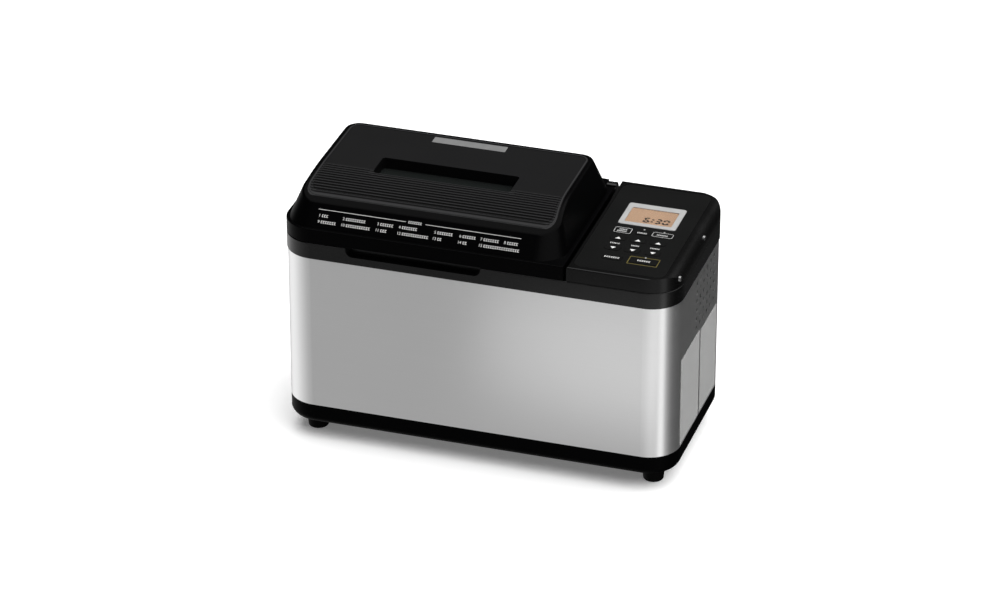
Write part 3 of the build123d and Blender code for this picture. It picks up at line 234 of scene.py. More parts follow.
class FinishSettings(bpy.types.PropertyGroup):
    """Colours of the machine's finishes."""

    steel: FloatVectorProperty(
        name="Steel", description="Brushed steel of the body",
        subtype="COLOR", min=0, max=1, default=(0.74, 0.74, 0.74),
    )
    gloss_black: FloatVectorProperty(
        name="Gloss black", description="Smooth black moulding of the lid's sides and the base",
        subtype="COLOR", min=0, max=1, default=(0.0005, 0.0005, 0.0006),
    )
    satin_black: FloatVectorProperty(
        name="Satin black", description="Finely textured black moulding of the trim and the lid's crown",
        subtype="COLOR", min=0, max=1, default=(0.0085, 0.0085, 0.0087),
    )
    film_black: FloatVectorProperty(
        name="Panel black", description="Printed film on the control panel",
        subtype="COLOR", min=0, max=1, default=(0.0031, 0.0032, 0.0031),
    )
    ink: FloatVectorProperty(
        name="Ink", description="White print on the lid and the panel",
        subtype="COLOR", min=0, max=1, default=(0.72, 0.72, 0.71),
    )
    start_ink: FloatVectorProperty(
        name="Start ink", description="Yellow outline of the start key",
        subtype="COLOR", min=0, max=1, default=(0.16, 0.13, 0.03),
    )
    display: FloatVectorProperty(
        name="Display", description="Lit background of the display",
        subtype="COLOR", min=0, max=1, default=(0.42, 0.27, 0.175),
    )


class PrintSettings(bpy.types.PropertyGroup):
    """Sizes of the printed marks."""

    number_height: FloatProperty(
        name="Number height", description="Height of the numbers in the list on the lid",
        unit="LENGTH", default=3.4 * MM,
    )
    row_pitch: FloatProperty(
        name="Row pitch", description="Distance between the rows of the list on the lid",
        unit="LENGTH", default=7.0 * MM,
    )
    stroke: FloatProperty(
        name="Stroke", description="Width of the printed lines",
        unit="LENGTH", default=0.55 * MM,
    )
    arrow: FloatProperty(
        name="Arrow", description="Length of the arrows on the up and down keys",
        unit="LENGTH", default=6.4 * MM,
    )
    digit_height: FloatProperty(
        name="Digit height", description="Height of the digits in the display",
        unit="LENGTH", default=12.0 * MM,
    )
    digit_slant: FloatProperty(
        name="Digit slant", description="Lean of the digits in the display",
        subtype="ANGLE", default=math.radians(6),
    )
    lamp: FloatProperty(
        name="Lamp", description="Diameter of the signal lamps beside the keys",
        unit="LENGTH", default=2.0 * MM,
    )


class StageSettings(bpy.types.PropertyGroup):
    """The studio: floor, light and camera."""

    azimuth: FloatProperty(
        name="Azimuth", description="Camera's direction, from the front towards the right",
        subtype="ANGLE", default=math.radians(17.709),
    )
    elevation: FloatProperty(
        name="Elevation", description="Camera's direction above the horizon",
        subtype="ANGLE", default=math.radians(28.404),
    )
    distance: FloatProperty(
        name="Distance", description="From the camera to the point that it looks at",
        unit="LENGTH", default=5.1243,
    )
    lens: FloatProperty(
        name="Lens", description="Focal length in millimetres on a 36 mm wide sensor",
        default=164.4,
    )
    target: FloatVectorProperty(
        name="Target", description="The point that the camera looks at",
        subtype="TRANSLATION", default=(-0.0046, 0.0, 0.1477),
    )
    sun_strength: FloatProperty(
        name="Top light", description="Strength of the wide soft light from above, at the right",
        default=5.0,
    )
    card_power: FloatProperty(
        name="Front card", description="Power of the low card that brightens the right of the steel front",
        default=0.31,
    )
    surroundings: FloatProperty(
        name="Surroundings", description="Brightness of the pale walls that the steel mirrors",
        default=0.81,
    )
    floor: FloatVectorProperty(
        name="Floor", description="Colour of the floor",
        subtype="COLOR", min=0, max=1, default=(0.92, 0.92, 0.92),
    )


def finishes():
    """The finish settings of the scene."""
    return bpy.context.scene.bread_machine_finish


def prints():
    """The print settings of the scene."""
    return bpy.context.scene.bread_machine_print


def grey(level):
    """A colour without hue."""
    return (level, level, level)


def shade(colour, factor):
    """A colour made lighter or darker."""
    return tuple(min(1.0, channel * factor) for channel in colour)


def opaque(colour):
    """A colour with its alpha; a link is left as it is."""
    return colour if isinstance(colour, bpy.types.NodeSocket) else (*colour, 1.0)


class Nodes:
    """Short calls for the nodes that the finishes and the surroundings share."""

    def __init__(self, tree):
        self.tree = tree

    def set(self, node, socket, value):
        """Sets one socket of a node, by value or by link."""
        if isinstance(value, bpy.types.NodeSocket):
            self.tree.links.new(value, node.inputs[socket])
        else:
            node.inputs[socket].default_value = value

    def node(self, kind, sockets=(), **settings):
        """Adds a node with its settings and sockets."""
        node = self.tree.nodes.new(kind)
        for name, value in settings.items():
            setattr(node, name, value)
        for socket, value in dict(sockets).items():
            self.set(node, socket, value)
        return node

    def split(self, vector):
        """The three parts of a vector."""
        return self.node("ShaderNodeSeparateXYZ", {"Vector": vector}).outputs

    def math(self, operation, first, second=0.0):
        """Works out one number from two."""
        return self.node("ShaderNodeMath", {0: first, 1: second}, operation=operation).outputs[0]

    def spread(self, value, low, high, from_low=0.3, from_high=0.7):
        """Maps a value to a range from another one, which is noise's usual range if none is given."""
        sockets = {
            "Value": value,
            "From Min": from_low,
            "From Max": from_high,
            "To Min": low,
            "To Max": high,
        }
        return self.node("ShaderNodeMapRange", sockets).outputs["Result"]

    def near(self, value, middle, inner, outer):
        """One within the inner distance of the middle, falling to nothing at the outer."""
        distance = self.math("ABSOLUTE", self.math("SUBTRACT", value, middle))
        return self.spread(distance, 1.0, 0.0, inner, outer)

    def blend(self, factor, first, second):
        """Mixes two colours."""
        sockets = {MIX_FACTOR: factor, MIX_FIRST: opaque(first), MIX_SECOND: opaque(second)}
        return self.node("ShaderNodeMix", sockets, data_type="RGBA").outputs[MIX_RESULT]


class Finish(Nodes):
    """A material under construction."""

    def __init__(self, name, colour, roughness, metallic=0.0, specular=0.5):
        self.material = bpy.data.materials.new(name)
        self.material.use_nodes = True
        super().__init__(self.material.node_tree)
        self.shader = self.tree.nodes["Principled BSDF"]
        self.put("Base Color", opaque(colour))
        self.put("Roughness", roughness)
        self.put("Metallic", metallic)
        self.put("Specular IOR Level", specular)

    def put(self, socket, value):
        """Sets one socket of the shader, by value or by link."""
        self.set(self.shader, socket, value)

    def noise(self, scale, stretch=(1, 1, 1), detail=3.0, roughness=0.5):
        """Noise of that many cells a metre in Object coordinates, stretched along the axes."""
        coordinates = self.node("ShaderNodeTexCoord").outputs["Object"]
        place = self.node("ShaderNodeMapping", {"Vector": coordinates, "Scale": stretch}).outputs["Vector"]
        sockets = {"Vector": place, "Scale": scale, "Detail": detail, "Roughness": roughness}
        return self.node("ShaderNodeTexNoise", sockets).outputs["Fac"]

    def bump(self, height, strength, distance):
        """Raises the surface by a height between 0 and 1."""
        sockets = {"Height": height, "Strength": strength, "Distance": distance}
        self.put("Normal", self.node("ShaderNodeBump", sockets).outputs["Normal"])


def dress(material, *names):
    """Gives a material to the machine's own pieces."""
    for name in names:
        piece = frame["nodes"][name]
        piece.data.materials.clear()
        piece.data.materials.append(material)


def brushed_steel(name, colour, stretch, roughness=0.34, anisotropy=0.75):
    """Steel with fine brush lines; stretch makes them short across and long along the brushing."""
    finish = Finish(name, colour, roughness, metallic=1.0)
    lines = finish.noise(60, stretch, detail=4, roughness=0.6)
    clouds = finish.noise(9, detail=3)
    tone = finish.blend(lines, shade(colour, 0.94), shade(colour, 1.05))
    finish.put("Base Color", finish.blend(finish.spread(clouds, 0.0, 0.3), tone, shade(colour, 0.95)))
    finish.put("Roughness", finish.spread(lines, roughness - 0.04, roughness + 0.05))
    finish.put("Anisotropic", anisotropy)
    finish.put("Anisotropic Rotation", ACROSS_BRUSHING)
    tangent = finish.node("ShaderNodeTangent", direction_type="RADIAL", axis="Z")
    finish.put("Tangent", tangent.outputs["Tangent"])
    finish.bump(lines, strength=0.06, distance=0.01 * MM)
    return finish.material


def moulded_plastic(name, colour, roughness, specular=0.5, grain=900, strength=0.35):
    """Moulded plastic with a fine grain and slightly uneven gloss."""
    finish = Finish(name, colour, roughness, specular=specular)
    texture = finish.noise(grain, detail=2)
    clouds = finish.noise(14, detail=3)
    finish.put("Base Color", finish.blend(clouds, shade(colour, 0.85), shade(colour, 1.15)))
    finish.put("Roughness", finish.spread(clouds, roughness - 0.04, roughness + 0.05))
    finish.bump(texture, strength, distance=0.03 * MM)
    return finish.material


def plain_metal(name, colour, roughness, mottle=0.12, cells=60, metallic=1.0):
    """Sheet, foil, wire or turned metal with faint handling marks."""
    finish = Finish(name, colour, roughness, metallic=metallic)
    marks = finish.noise(cells, detail=5, roughness=0.65)
    finish.put("Base Color", finish.blend(marks, shade(colour, 1 - mottle), shade(colour, 1 + mottle)))
    finish.put("Roughness", finish.spread(marks, roughness - 0.06, roughness + 0.10))
    finish.bump(marks, strength=0.15, distance=0.02 * MM)
    return finish.material


def rubber(name, colour):
    """Matt rubber with a dusty, slightly rough skin."""
    finish = Finish(name, colour, roughness=0.7, specular=0.04)
    skin = finish.noise(500, detail=4)
    finish.put("Base Color", finish.blend(skin, shade(colour, 0.8), shade(colour, 1.5)))
    finish.bump(skin, strength=0.4, distance=0.05 * MM)
    return finish.material


def clear_pane(name, colour, roughness=0.03, clearness=1.0):
    """Glass or clear plastic with faint smears; a low clearness leaves a grey film on it."""
    finish = Finish(name, colour, roughness)
    finish.put("Transmission Weight", clearness)
    finish.put("IOR", 1.5)
    smears = finish.noise(25, detail=4)
    finish.put("Roughness", finish.spread(smears, roughness, roughness + 0.05))
    return finish.material


def print_ink(name, colour):
    """Screen-printed ink with slightly uneven cover."""
    finish = Finish(name, colour, roughness=0.55, specular=0.3)
    cover = finish.noise(700, detail=2)
    finish.put("Base Color", finish.blend(cover, shade(colour, 0.82), colour))
    return finish.material


def dome_inset(finish, x, y, z):
    """How far a point of the lid lies inside the dome's leaning walls and rounded corners."""
    rise = finish.math("SUBTRACT", z, DOME_FOOT)

    def from_wall(place, start, inward, lean):
        """How far a point lies inside one leaning wall."""
        wall = finish.math("ADD", finish.math("MULTIPLY", rise, lean), DOME_LEDGE)
        level = finish.math("MULTIPLY", finish.math("SUBTRACT", place, start), inward)
        return finish.math("DIVIDE", finish.math("SUBTRACT", level, wall), math.hypot(1, lean))

    from_ends = finish.math(
        "MINIMUM", from_wall(x, LID_LOW.x, 1, END_LEAN), from_wall(x, LID_HIGH.x, -1, END_LEAN)
    )
    from_sides = finish.math(
        "MINIMUM", from_wall(y, LID_LOW.y, 1, FRONT_LEAN), from_wall(y, LID_HIGH.y, -1, BACK_LEAN)
    )
    squares = []
    for gap in (from_ends, from_sides):
        short = finish.math("MAXIMUM", finish.math("SUBTRACT", DOME_CORNER, gap), 0.0)
        squares.append(finish.math("MULTIPLY", short, short))
    return finish.math("SUBTRACT", DOME_CORNER, finish.math("SQRT", finish.math("ADD", *squares)))


def rib_tops(finish, y):
    """Where the painted rib highlights lie: one on the tops of the ribs and nothing between them, by the
    length along the crown's line.
    """
    level = finish.math("SUBTRACT", finish.math("MINIMUM", y, SLOPE_END), LID_LOW.y)
    slope = finish.math("DIVIDE", level, math.cos(CROWN_LEAN))
    past = finish.math("MAXIMUM", finish.math("SUBTRACT", y, SLOPE_END), 0.0)
    sine = finish.math("SUBTRACT", math.sin(CROWN_LEAN), finish.math("DIVIDE", past, CROWN_RADIUS))
    angle = finish.math("SUBTRACT", CROWN_LEAN, finish.math("ARCSINE", sine))
    bend = finish.math("MULTIPLY", angle, CROWN_RADIUS)
    length = finish.math("SUBTRACT", finish.math("ADD", slope, bend), RIB_START)
    wave = finish.math("COSINE", finish.math("MULTIPLY", length, 2 * math.pi / RIB_PITCH))
    return finish.spread(wave, 0.0, 1.0, -0.5, 0.5)


def lid_plastic(gloss, satin):
    """Black moulding: satin on the crown and gloss outside it; painted highlights on the bead and the rib
    tops, painted shade between the ribs and on steep faces.
    """
    finish = Finish("lid_plastic", gloss, roughness=0.3, specular=0.022)
    coordinates = finish.node("ShaderNodeTexCoord").outputs
    x, y, z = finish.split(coordinates["Object"])
    inset = dome_inset(finish, x, y, z)
    high = finish.spread(z, 0.0, 1.0, CROWN_FOOT, CROWN_FOOT + CROWN_FADE)
    inside = finish.spread(inset, 0.0, 1.0, BEAD_INSET - BEAD_FADE, BEAD_INSET)
    crown = finish.math("MULTIPLY", high, inside)
    painted_bead_highlight = finish.near(inset, BEAD_INSET + BEAD_WIDTH / 2, 0.4 * BEAD_WIDTH, 0.6 * BEAD_WIDTH)
    painted_rib_zone = finish.spread(y, 1.0, 0.0, RIBS_END - RIBS_FADE, RIBS_END)
    painted_steep_shade = finish.spread(finish.split(coordinates["Normal"])["Z"], 1.0, 0.0, *PAINTED_SHADE_STEEPNESS)

    tone = finish.blend(finish.noise(12, detail=3), shade(satin, 0.9), shade(satin, 1.12))
    # Painted highlights on the rib tops with painted shade between them
    lines = finish.blend(rib_tops(finish, y), shade(satin, 0.3), shade(satin, 2.6))
    tone = finish.blend(painted_rib_zone, tone, lines)
    # Painted shade on steep faces: the rib flanks and the window well's walls
    tone = finish.blend(painted_steep_shade, tone, shade(satin, 0.3))
    # Painted highlight along the bead
    tone = finish.blend(painted_bead_highlight, tone, shade(satin, 3.2))
    finish.put("Base Color", finish.blend(crown, gloss, tone))
    finish.put("Roughness", finish.spread(crown, 0.30, 0.46, 0.0, 1.0))
    grain = finish.noise(1100, detail=2)
    finish.bump(finish.math("MULTIPLY", grain, crown), strength=0.5, distance=0.03 * MM)
    return finish.material


def lit_display(colour):
    """Amber display with a fine cell pattern, glowing with painted light that stands in for the room's
    light which the clear lens keeps off it, painted brighter in the middle.
    """
    finish = Finish("display", colour, roughness=0.35, specular=0.3)
    coordinates = finish.node("ShaderNodeTexCoord").outputs["Object"]
    sockets = {0: coordinates, 1: DISPLAY_MIDDLE}
    offset = finish.node("ShaderNodeVectorMath", sockets, operation="DISTANCE").outputs["Value"]
    # Painted light: the glow stands in for the room's light and is painted brighter in the middle
    glow = finish.spread(offset, 1.08, 0.82, 0.0, (DISPLAY_HIGH - DISPLAY_LOW).length / 2)
    cells = finish.noise(2500, detail=1)
    tone = finish.blend(cells, shade(colour, 0.94), shade(colour, 1.04))
    finish.put("Base Color", tone)
    finish.put("Emission Color", tone)
    finish.put("Emission Strength", finish.math("MULTIPLY", glow, DISPLAY_PAINTED_LIGHT))
    return finish.material


def non_stick():
    """Dark non-stick coating with fine pale flecks."""
    finish = Finish("non_stick", (0.03, 0.03, 0.032), roughness=0.42, specular=0.4)
    flecks = finish.spread(finish.noise(900, detail=1), 0.0, 1.0, 0.66, 0.74)
    clouds = finish.noise(18, detail=3)
    tone = finish.blend(clouds, (0.024, 0.024, 0.026), (0.036, 0.036, 0.038))
    finish.put("Base Color", finish.blend(flecks, tone, grey(0.10)))
    finish.put("Roughness", finish.spread(clouds, 0.36, 0.5))
    finish.bump(finish.noise(1400, detail=2), strength=0.2, distance=0.03 * MM)
    return finish.material


def surface_turn(normal, along=(1, 0, 0)):
    """A turn that lays the XY plane on a surface, with X along it."""
    z = Vector(normal).normalized()
    x = (Vector(along) - Vector(along).project(z)).normalized()
    return Matrix((x, z.cross(x), z)).transposed().to_4x4()


def lay(piece, spot, turn):
    """Places a piece that was made flat at the origin on a surface, with its place in its mesh."""
    piece.matrix_world = Matrix.Translation(spot) @ turn
    bpy.ops.object.select_all(action="DESELECT")
    piece.select_set(True)
    bpy.context.view_layer.objects.active = piece
    bpy.ops.object.transform_apply(location=True, rotation=True, scale=True)


def open_mesh(name, add, **sizes):
    """Adds a primitive and opens it in edit mode, with all of it selected."""
    bpy.ops.object.select_all(action="DESELECT")
    add(**sizes)
    piece = bpy.context.object
    piece.name = name
    bpy.ops.object.mode_set(mode="EDIT")
    bpy.ops.mesh.select_all(action="SELECT")
    return piece


def open_rectangle(name, length, across, radius, segments=4):
    """Opens a flat rectangle with rounded corners on the XY plane at the origin."""
    piece = open_mesh(name, bpy.ops.mesh.primitive_plane_add, size=1)
    bpy.ops.transform.resize(value=(length, across, 1))
    if radius:
        bpy.ops.mesh.bevel(offset=radius, segments=segments, affect="VERTICES")
    return piece


def thicken(thickness):
    """Raises the open flat mesh to a closed plate and leaves edit mode."""
    bpy.ops.mesh.select_all(action="SELECT")
    bpy.ops.mesh.extrude_region_move(TRANSFORM_OT_translate={"value": (0, 0, thickness)})
    bpy.ops.mesh.select_all(action="SELECT")
    bpy.ops.mesh.normals_make_consistent(inside=False)
    bpy.ops.object.mode_set(mode="OBJECT")


def flat_plate(name, length, across, radius, thickness, segments=4):
    """A thin plate with rounded corners, lying on the XY plane at the origin."""
    piece = open_rectangle(name, length, across, radius, segments)
    thicken(thickness)
    return piece


def flat_frame(name, length, across, radius, stroke, thickness):
    """A thin outline of a rounded rectangle, lying on the XY plane at the origin."""
    piece = open_rectangle(name, length, across, radius)
    bpy.ops.mesh.select_all(action="SELECT")
    bpy.ops.mesh.inset(thickness=stroke)
    bpy.ops.mesh.delete(type="FACE")
    thicken(thickness)
    return piece


def flat_arrow(name, length, across, up, thickness):
    """A thin triangle with softened corners that points up or down, on the XY plane at the origin."""
    piece = open_mesh(name, bpy.ops.mesh.primitive_circle_add, vertices=3, radius=1, fill_type="NGON")
    triangle_side = math.sqrt(3)
    triangle_height = 1.5
    bpy.ops.transform.translate(value=(0, triangle_height / 2 - 1, 0))
    stretch = (across if up else -across) / triangle_height
    bpy.ops.transform.resize(value=(length / triangle_side, stretch, 1))
    corner = 0.06 * across
    bpy.ops.mesh.bevel(offset=corner, segments=2, affect="VERTICES")
    thicken(thickness)
    return piece


def flat_disc(name, radius, thickness):
    """A thin disc lying on the XY plane at the origin."""
    add = bpy.ops.mesh.primitive_cylinder_add
    piece = open_mesh(name, add, vertices=24, radius=radius, depth=thickness)
    bpy.ops.transform.translate(value=(0, 0, thickness / 2))
    bpy.ops.object.mode_set(mode="OBJECT")
    return piece


def flat_number(name, number, height, thickness):
    """A plain number as thin raised figures, starting at the origin on the XY plane."""
    bpy.ops.object.select_all(action="DESELECT")
    bpy.ops.object.text_add()
    piece = bpy.context.object
    piece.name = name
    piece.data.body = number
    piece.data.size = height / FIGURE_SHARE
    piece.data.align_y = "CENTER"
    piece.data.resolution_u = 3
    piece.data.extrude = thickness
    bpy.ops.object.convert(target="MESH")
    return bpy.context.object


def fuse(name, pieces):
    """Joins pieces into one, which is left selected."""
    bpy.ops.object.select_all(action="DESELECT")
    for piece in pieces:
        piece.select_set(True)
    bpy.context.view_layer.objects.active = pieces[0]
    if len(pieces) > 1:
        bpy.ops.object.join()
    piece = bpy.context.object
    piece.name = name
    piece.data.name = name
    return piece


def flat_words(name, length, height, thickness):
    """A row of equal strokes in place of a printed word, starting at the origin on the XY plane."""
    stem = 0.24 * height
    arm = 0.34 * height
    pitch = 0.84 * height
    strokes = []
    for x, y, size in (
        (stem / 2, 0, (stem, height)),
        (stem + arm / 2, (height - stem) / 2, (arm, stem)),
        (stem + arm / 2, (stem - height) / 2, (arm, stem)),
    ):
        stroke = flat_plate(name, *size, 0, thickness)
        lay(stroke, Vector((x, y, 0)), Matrix())
        strokes.append(stroke)
    piece = fuse(name, strokes)
    bpy.ops.object.modifier_add(type="ARRAY")
    row = piece.modifiers[-1]
    row.count = max(2, round(length / pitch))
    row.use_relative_offset = False
    row.use_constant_offset = True
    row.constant_offset_displace = (pitch, 0, 0)
    bpy.ops.object.modifier_apply(modifier=row.name)
    return piece


def finish_marks(name, pieces, material, body):
    """Joins marks or plates into one piece, gives it its finish and lets it ride on a body."""
    piece = fuse(name, pieces)
    piece.data.materials.clear()
    piece.data.materials.append(material)
    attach(piece, body)


def panel_height(high, y):
    """The height at y of a face that slopes as the panel does, from the high corner of its box."""
    return high.z - (high.y - y) * PANEL_SLOPE


def panel_spot(dx, y):
    """A point on the panel: dx from its middle and y from the machine's middle, in millimetres."""
    return Vector((PANEL_MIDDLE + dx * MM, y * MM, panel_height(OVERLAY_HIGH, y * MM)))


def key_spot(name):
    """The middle of a key's top, lifted off it by a hair."""
    low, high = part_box(name)
    middle = (low + high) / 2
    return Vector((middle.x, middle.y, panel_height(high, middle.y) + KEY_LIFT))


class BREADMACHINE_OT_casing(bpy.types.Operator):
    """Finish the steel body, the base, the trim, the feet and the back"""

    bl_idname = "bread_machine.casing"
    bl_label = "Casing"

    def execute(self, context):
        colours = finishes()
        black = shade(colours.satin_black, 0.1)
        trim = moulded_plastic("trim_plastic", black, roughness=0.22, specular=0.3, strength=0.1)
        housing = moulded_plastic("housing_plastic", black, roughness=0.22, specular=0.17, strength=0.1)
        dress(brushed_steel("brushed_wrap", colours.steel, (0.03, 0.03, 60)), "body_wrap")
        dress(trim, "upper_frame")
        dress(housing, "control_housing")
        dress(moulded_plastic("base_plastic", colours.gloss_black, 0.42, specular=0.015), "base_tray")
        dress(rubber("foot_rubber", grey(0.0008)), "feet", "cord_gland")
        dress(moulded_plastic("rear_paint", grey(0.012), 0.45, grain=1500), "rear_panel")
        dress(plain_metal("screw_steel", grey(0.24), 0.34), "side_screws")
        return {"FINISHED"}


class BREADMACHINE_OT_side(bpy.types.Operator):
    """Lay the two bare foil plates on the steel's right side and dark crosses of painted shade on the screw
    heads
    """

    bl_idname = "bread_machine.side"
    bl_label = "Right side"

    def execute(self, context):
        outward = (1, 0, 0)
        backward = (0, 1, 0)
        upward = (0, 0, 1)
        plates = []
        for front, rear, top in SIDE_PLATES:
            length = (rear - front) * MM
            across = top * MM - SIDE_PLATE_FOOT
            plate = flat_plate("side_plate", length, across, SIDE_PLATE_CORNER, SIDE_PLATE_THICKNESS)
            spot = Vector((WRAP_HIGH.x, (front + rear) / 2 * MM, SIDE_PLATE_FOOT + across / 2))
            lay(plate, spot, surface_turn(outward, backward))
            plates.append(plate)
        foil = plain_metal("side_foil", (0.33, 0.33, 0.327), 0.5, mottle=0.22, cells=170, metallic=0.25)
        finish_marks("side_plates", plates, foil, "housing")

        # Dark crosses of painted shade where the screws' cross recesses lie
        bars = []
        for corner, inward in ((SCREWS_LOW, SCREW_RADIUS), (SCREWS_HIGH, -SCREW_RADIUS)):
            for along in (backward, upward):
                bar = flat_plate("recess", CROSS_LENGTH, CROSS_WIDTH, 0, INK)
                spot = Vector((SCREWS_HIGH.x, corner.y + inward, corner.z + inward))
                lay(bar, spot, surface_turn(outward, along))
                bars.append(bar)
        finish_marks("screw_cross_shade", bars, plain_metal("recess_shadow", grey(0.03), 0.6), "housing")
        return {"FINISHED"}


class BREADMACHINE_OT_lid(bpy.types.Operator):
    """Finish the lid, its panes and its inner cover"""

    bl_idname = "bread_machine.lid"
    bl_label = "Lid"

    def execute(self, context):
        colours = finishes()
        glass = clear_pane("window_glass", (0.021, 0.024, 0.023), clearness=0.55)
        dress(lid_plastic(colours.gloss_black, colours.satin_black), "lid_cover")
        dress(glass, "lid_window", "lid_inner_glass")
        dress(plain_metal("liner_metal", (0.42, 0.42, 0.41), 0.4, cells=20), "lid_liner")
        dress(plain_metal("hinge_steel", grey(0.60), 0.25), "hinge_pins")
        return {"FINISHED"}


class BREADMACHINE_OT_panel(bpy.types.Operator):
    """Finish the control panel, its keys, its display and the circuit boards"""

    bl_idname = "bread_machine.panel"
    bl_label = "Control panel"

    def execute(self, context):
        colours = finishes()
        film = moulded_plastic(
            "panel_film", colours.film_black, 0.42, specular=0.07, grain=1600, strength=0.2
        )
        silver = plain_metal("bezel_silver", (0.40, 0.40, 0.396), 0.45, mottle=0.05, metallic=0.3)
        keys = [name for name in frame["nodes"] if name.endswith("_key")]
        dress(film, "control_overlay", *keys)
        dress(silver, "lcd_bezel")
        dress(clear_pane("lens_clear", (0.97, 0.97, 0.96), 0.02), "lcd_lens")
        dress(lit_display(colours.display), "lcd_module")
        dress(moulded_plastic("board_green", (0.02, 0.11, 0.045), 0.4), "control_board", "power_board")
        return {"FINISHED"}


class BREADMACHINE_OT_inside(bpy.types.Operator):
    """Finish the baking chamber, the pan, the blades and the drive"""

    bl_idname = "bread_machine.inside"
    bl_label = "Inside"

    def execute(self, context):
        chamber = brushed_steel(
            "chamber_metal", (0.40, 0.40, 0.39), (0.2, 0.2, 4), roughness=0.38, anisotropy=0.4
        )
        dress(chamber, "baking_chamber")
        dress(plain_metal("heater_sheath", grey(0.10), 0.5, mottle=0.3), "main_heater", "lid_heater")
        dress(
            plain_metal("bright_steel", (0.62, 0.62, 0.61), 0.24),
            "pan_shaft_left", "pan_shaft_right", "drive_shaft_left", "drive_shaft_right",
            "heater_brackets", "temperature_probe", "pan_springs",
        )
        dress(plain_metal("handle_wire", (0.70, 0.70, 0.69), 0.18), "pan_handle_left", "pan_handle_right")
        dress(non_stick(), "loaf_pan", "kneading_blade_left", "kneading_blade_right")
        dress(plain_metal("pan_metal", (0.52, 0.52, 0.51), 0.4), "pan_foot")
        dress(rubber("seal_rubber", (0.16, 0.035, 0.025)), "shaft_seals")
        dress(plain_metal("chassis_steel", (0.50, 0.51, 0.52), 0.4), "chassis_plate")
        dress(plain_metal("bearing_bronze", (0.45, 0.30, 0.15), 0.42), "shaft_bearings")
        dress(plain_metal("motor_core", (0.16, 0.16, 0.165), 0.5), "motor_stator", "motor_rotor")
        dress(plain_metal("copper_wire", (0.62, 0.28, 0.12), 0.3), "motor_windings")
        dress(plain_metal("motor_cast", (0.46, 0.46, 0.47), 0.5), "motor_brackets")
        dress(rubber("belt_rubber", grey(0.014)), "main_belt", "cross_belt", "motor_mounts")
        dress(
            moulded_plastic("pulley_nylon", (0.62, 0.60, 0.54), 0.45, grain=500),
            "cross_pulley", "double_pulley", "motor_pulley",
        )
        dress(moulded_plastic("component_black", (0.03, 0.03, 0.033), 0.4), "board_parts")
        return {"FINISHED"}


class BREADMACHINE_OT_course_list(bpy.types.Operator):
    """Print the numbered list on the lid's front slope and lay the bare plate on its crown"""

    bl_idname = "bread_machine.course_list"
    bl_label = "List on the lid"

    def execute(self, context):
        sizes = prints()
        turn = surface_turn(LIST_NORMAL)
        down = -(turn @ Vector((0, 1, 0)))
        marks = []

        def put(piece, x, drop):
            """Lays a mark on the slope, x in millimetres along it and drop below the list's top."""
            lay(piece, LIST_TOP + Vector((x * MM, 0, 0)) + down * drop, turn)
            marks.append(piece)

        for start, end in LIST_LINES:
            put(flat_plate("rule", (end - start) * MM, sizes.stroke, 0, INK), (start + end) / 2, 0)
        title_height = TITLE_SHARE * sizes.number_height
        title = flat_words("title", LIST_TITLE_LENGTH * MM, title_height, INK)
        put(title, LIST_TITLE_START, 0)
        entry_height = ENTRY_SHARE * sizes.number_height
        for row, entries in enumerate(COURSE_ROWS):
            drop = sizes.row_pitch * (row + 1)
            for number, x, length in entries:
                put(flat_number("number", str(number), sizes.number_height, INK), x, drop)
                room = NUMBER_GAP + FIGURE_WIDTH * len(str(number))
                put(flat_words("entry", (length - room) * MM, entry_height, INK), x + room, drop)
        finish_marks("course_print", marks, print_ink("list_ink", shade(finishes().ink, 0.8)), "lid")

        foil = plain_metal("plate_foil", grey(0.18), 0.45, mottle=0.15, cells=90, metallic=0.3)
        plate = flat_plate("lid_plate", *LID_PLATE_SIZE, LID_PLATE_CORNER, LID_PLATE_THICKNESS)
        lay(plate, LID_PLATE_PLACE, surface_turn(LID_PLATE_NORMAL))
        finish_marks("lid_plate", [plate], foil, "lid")
        return {"FINISHED"}


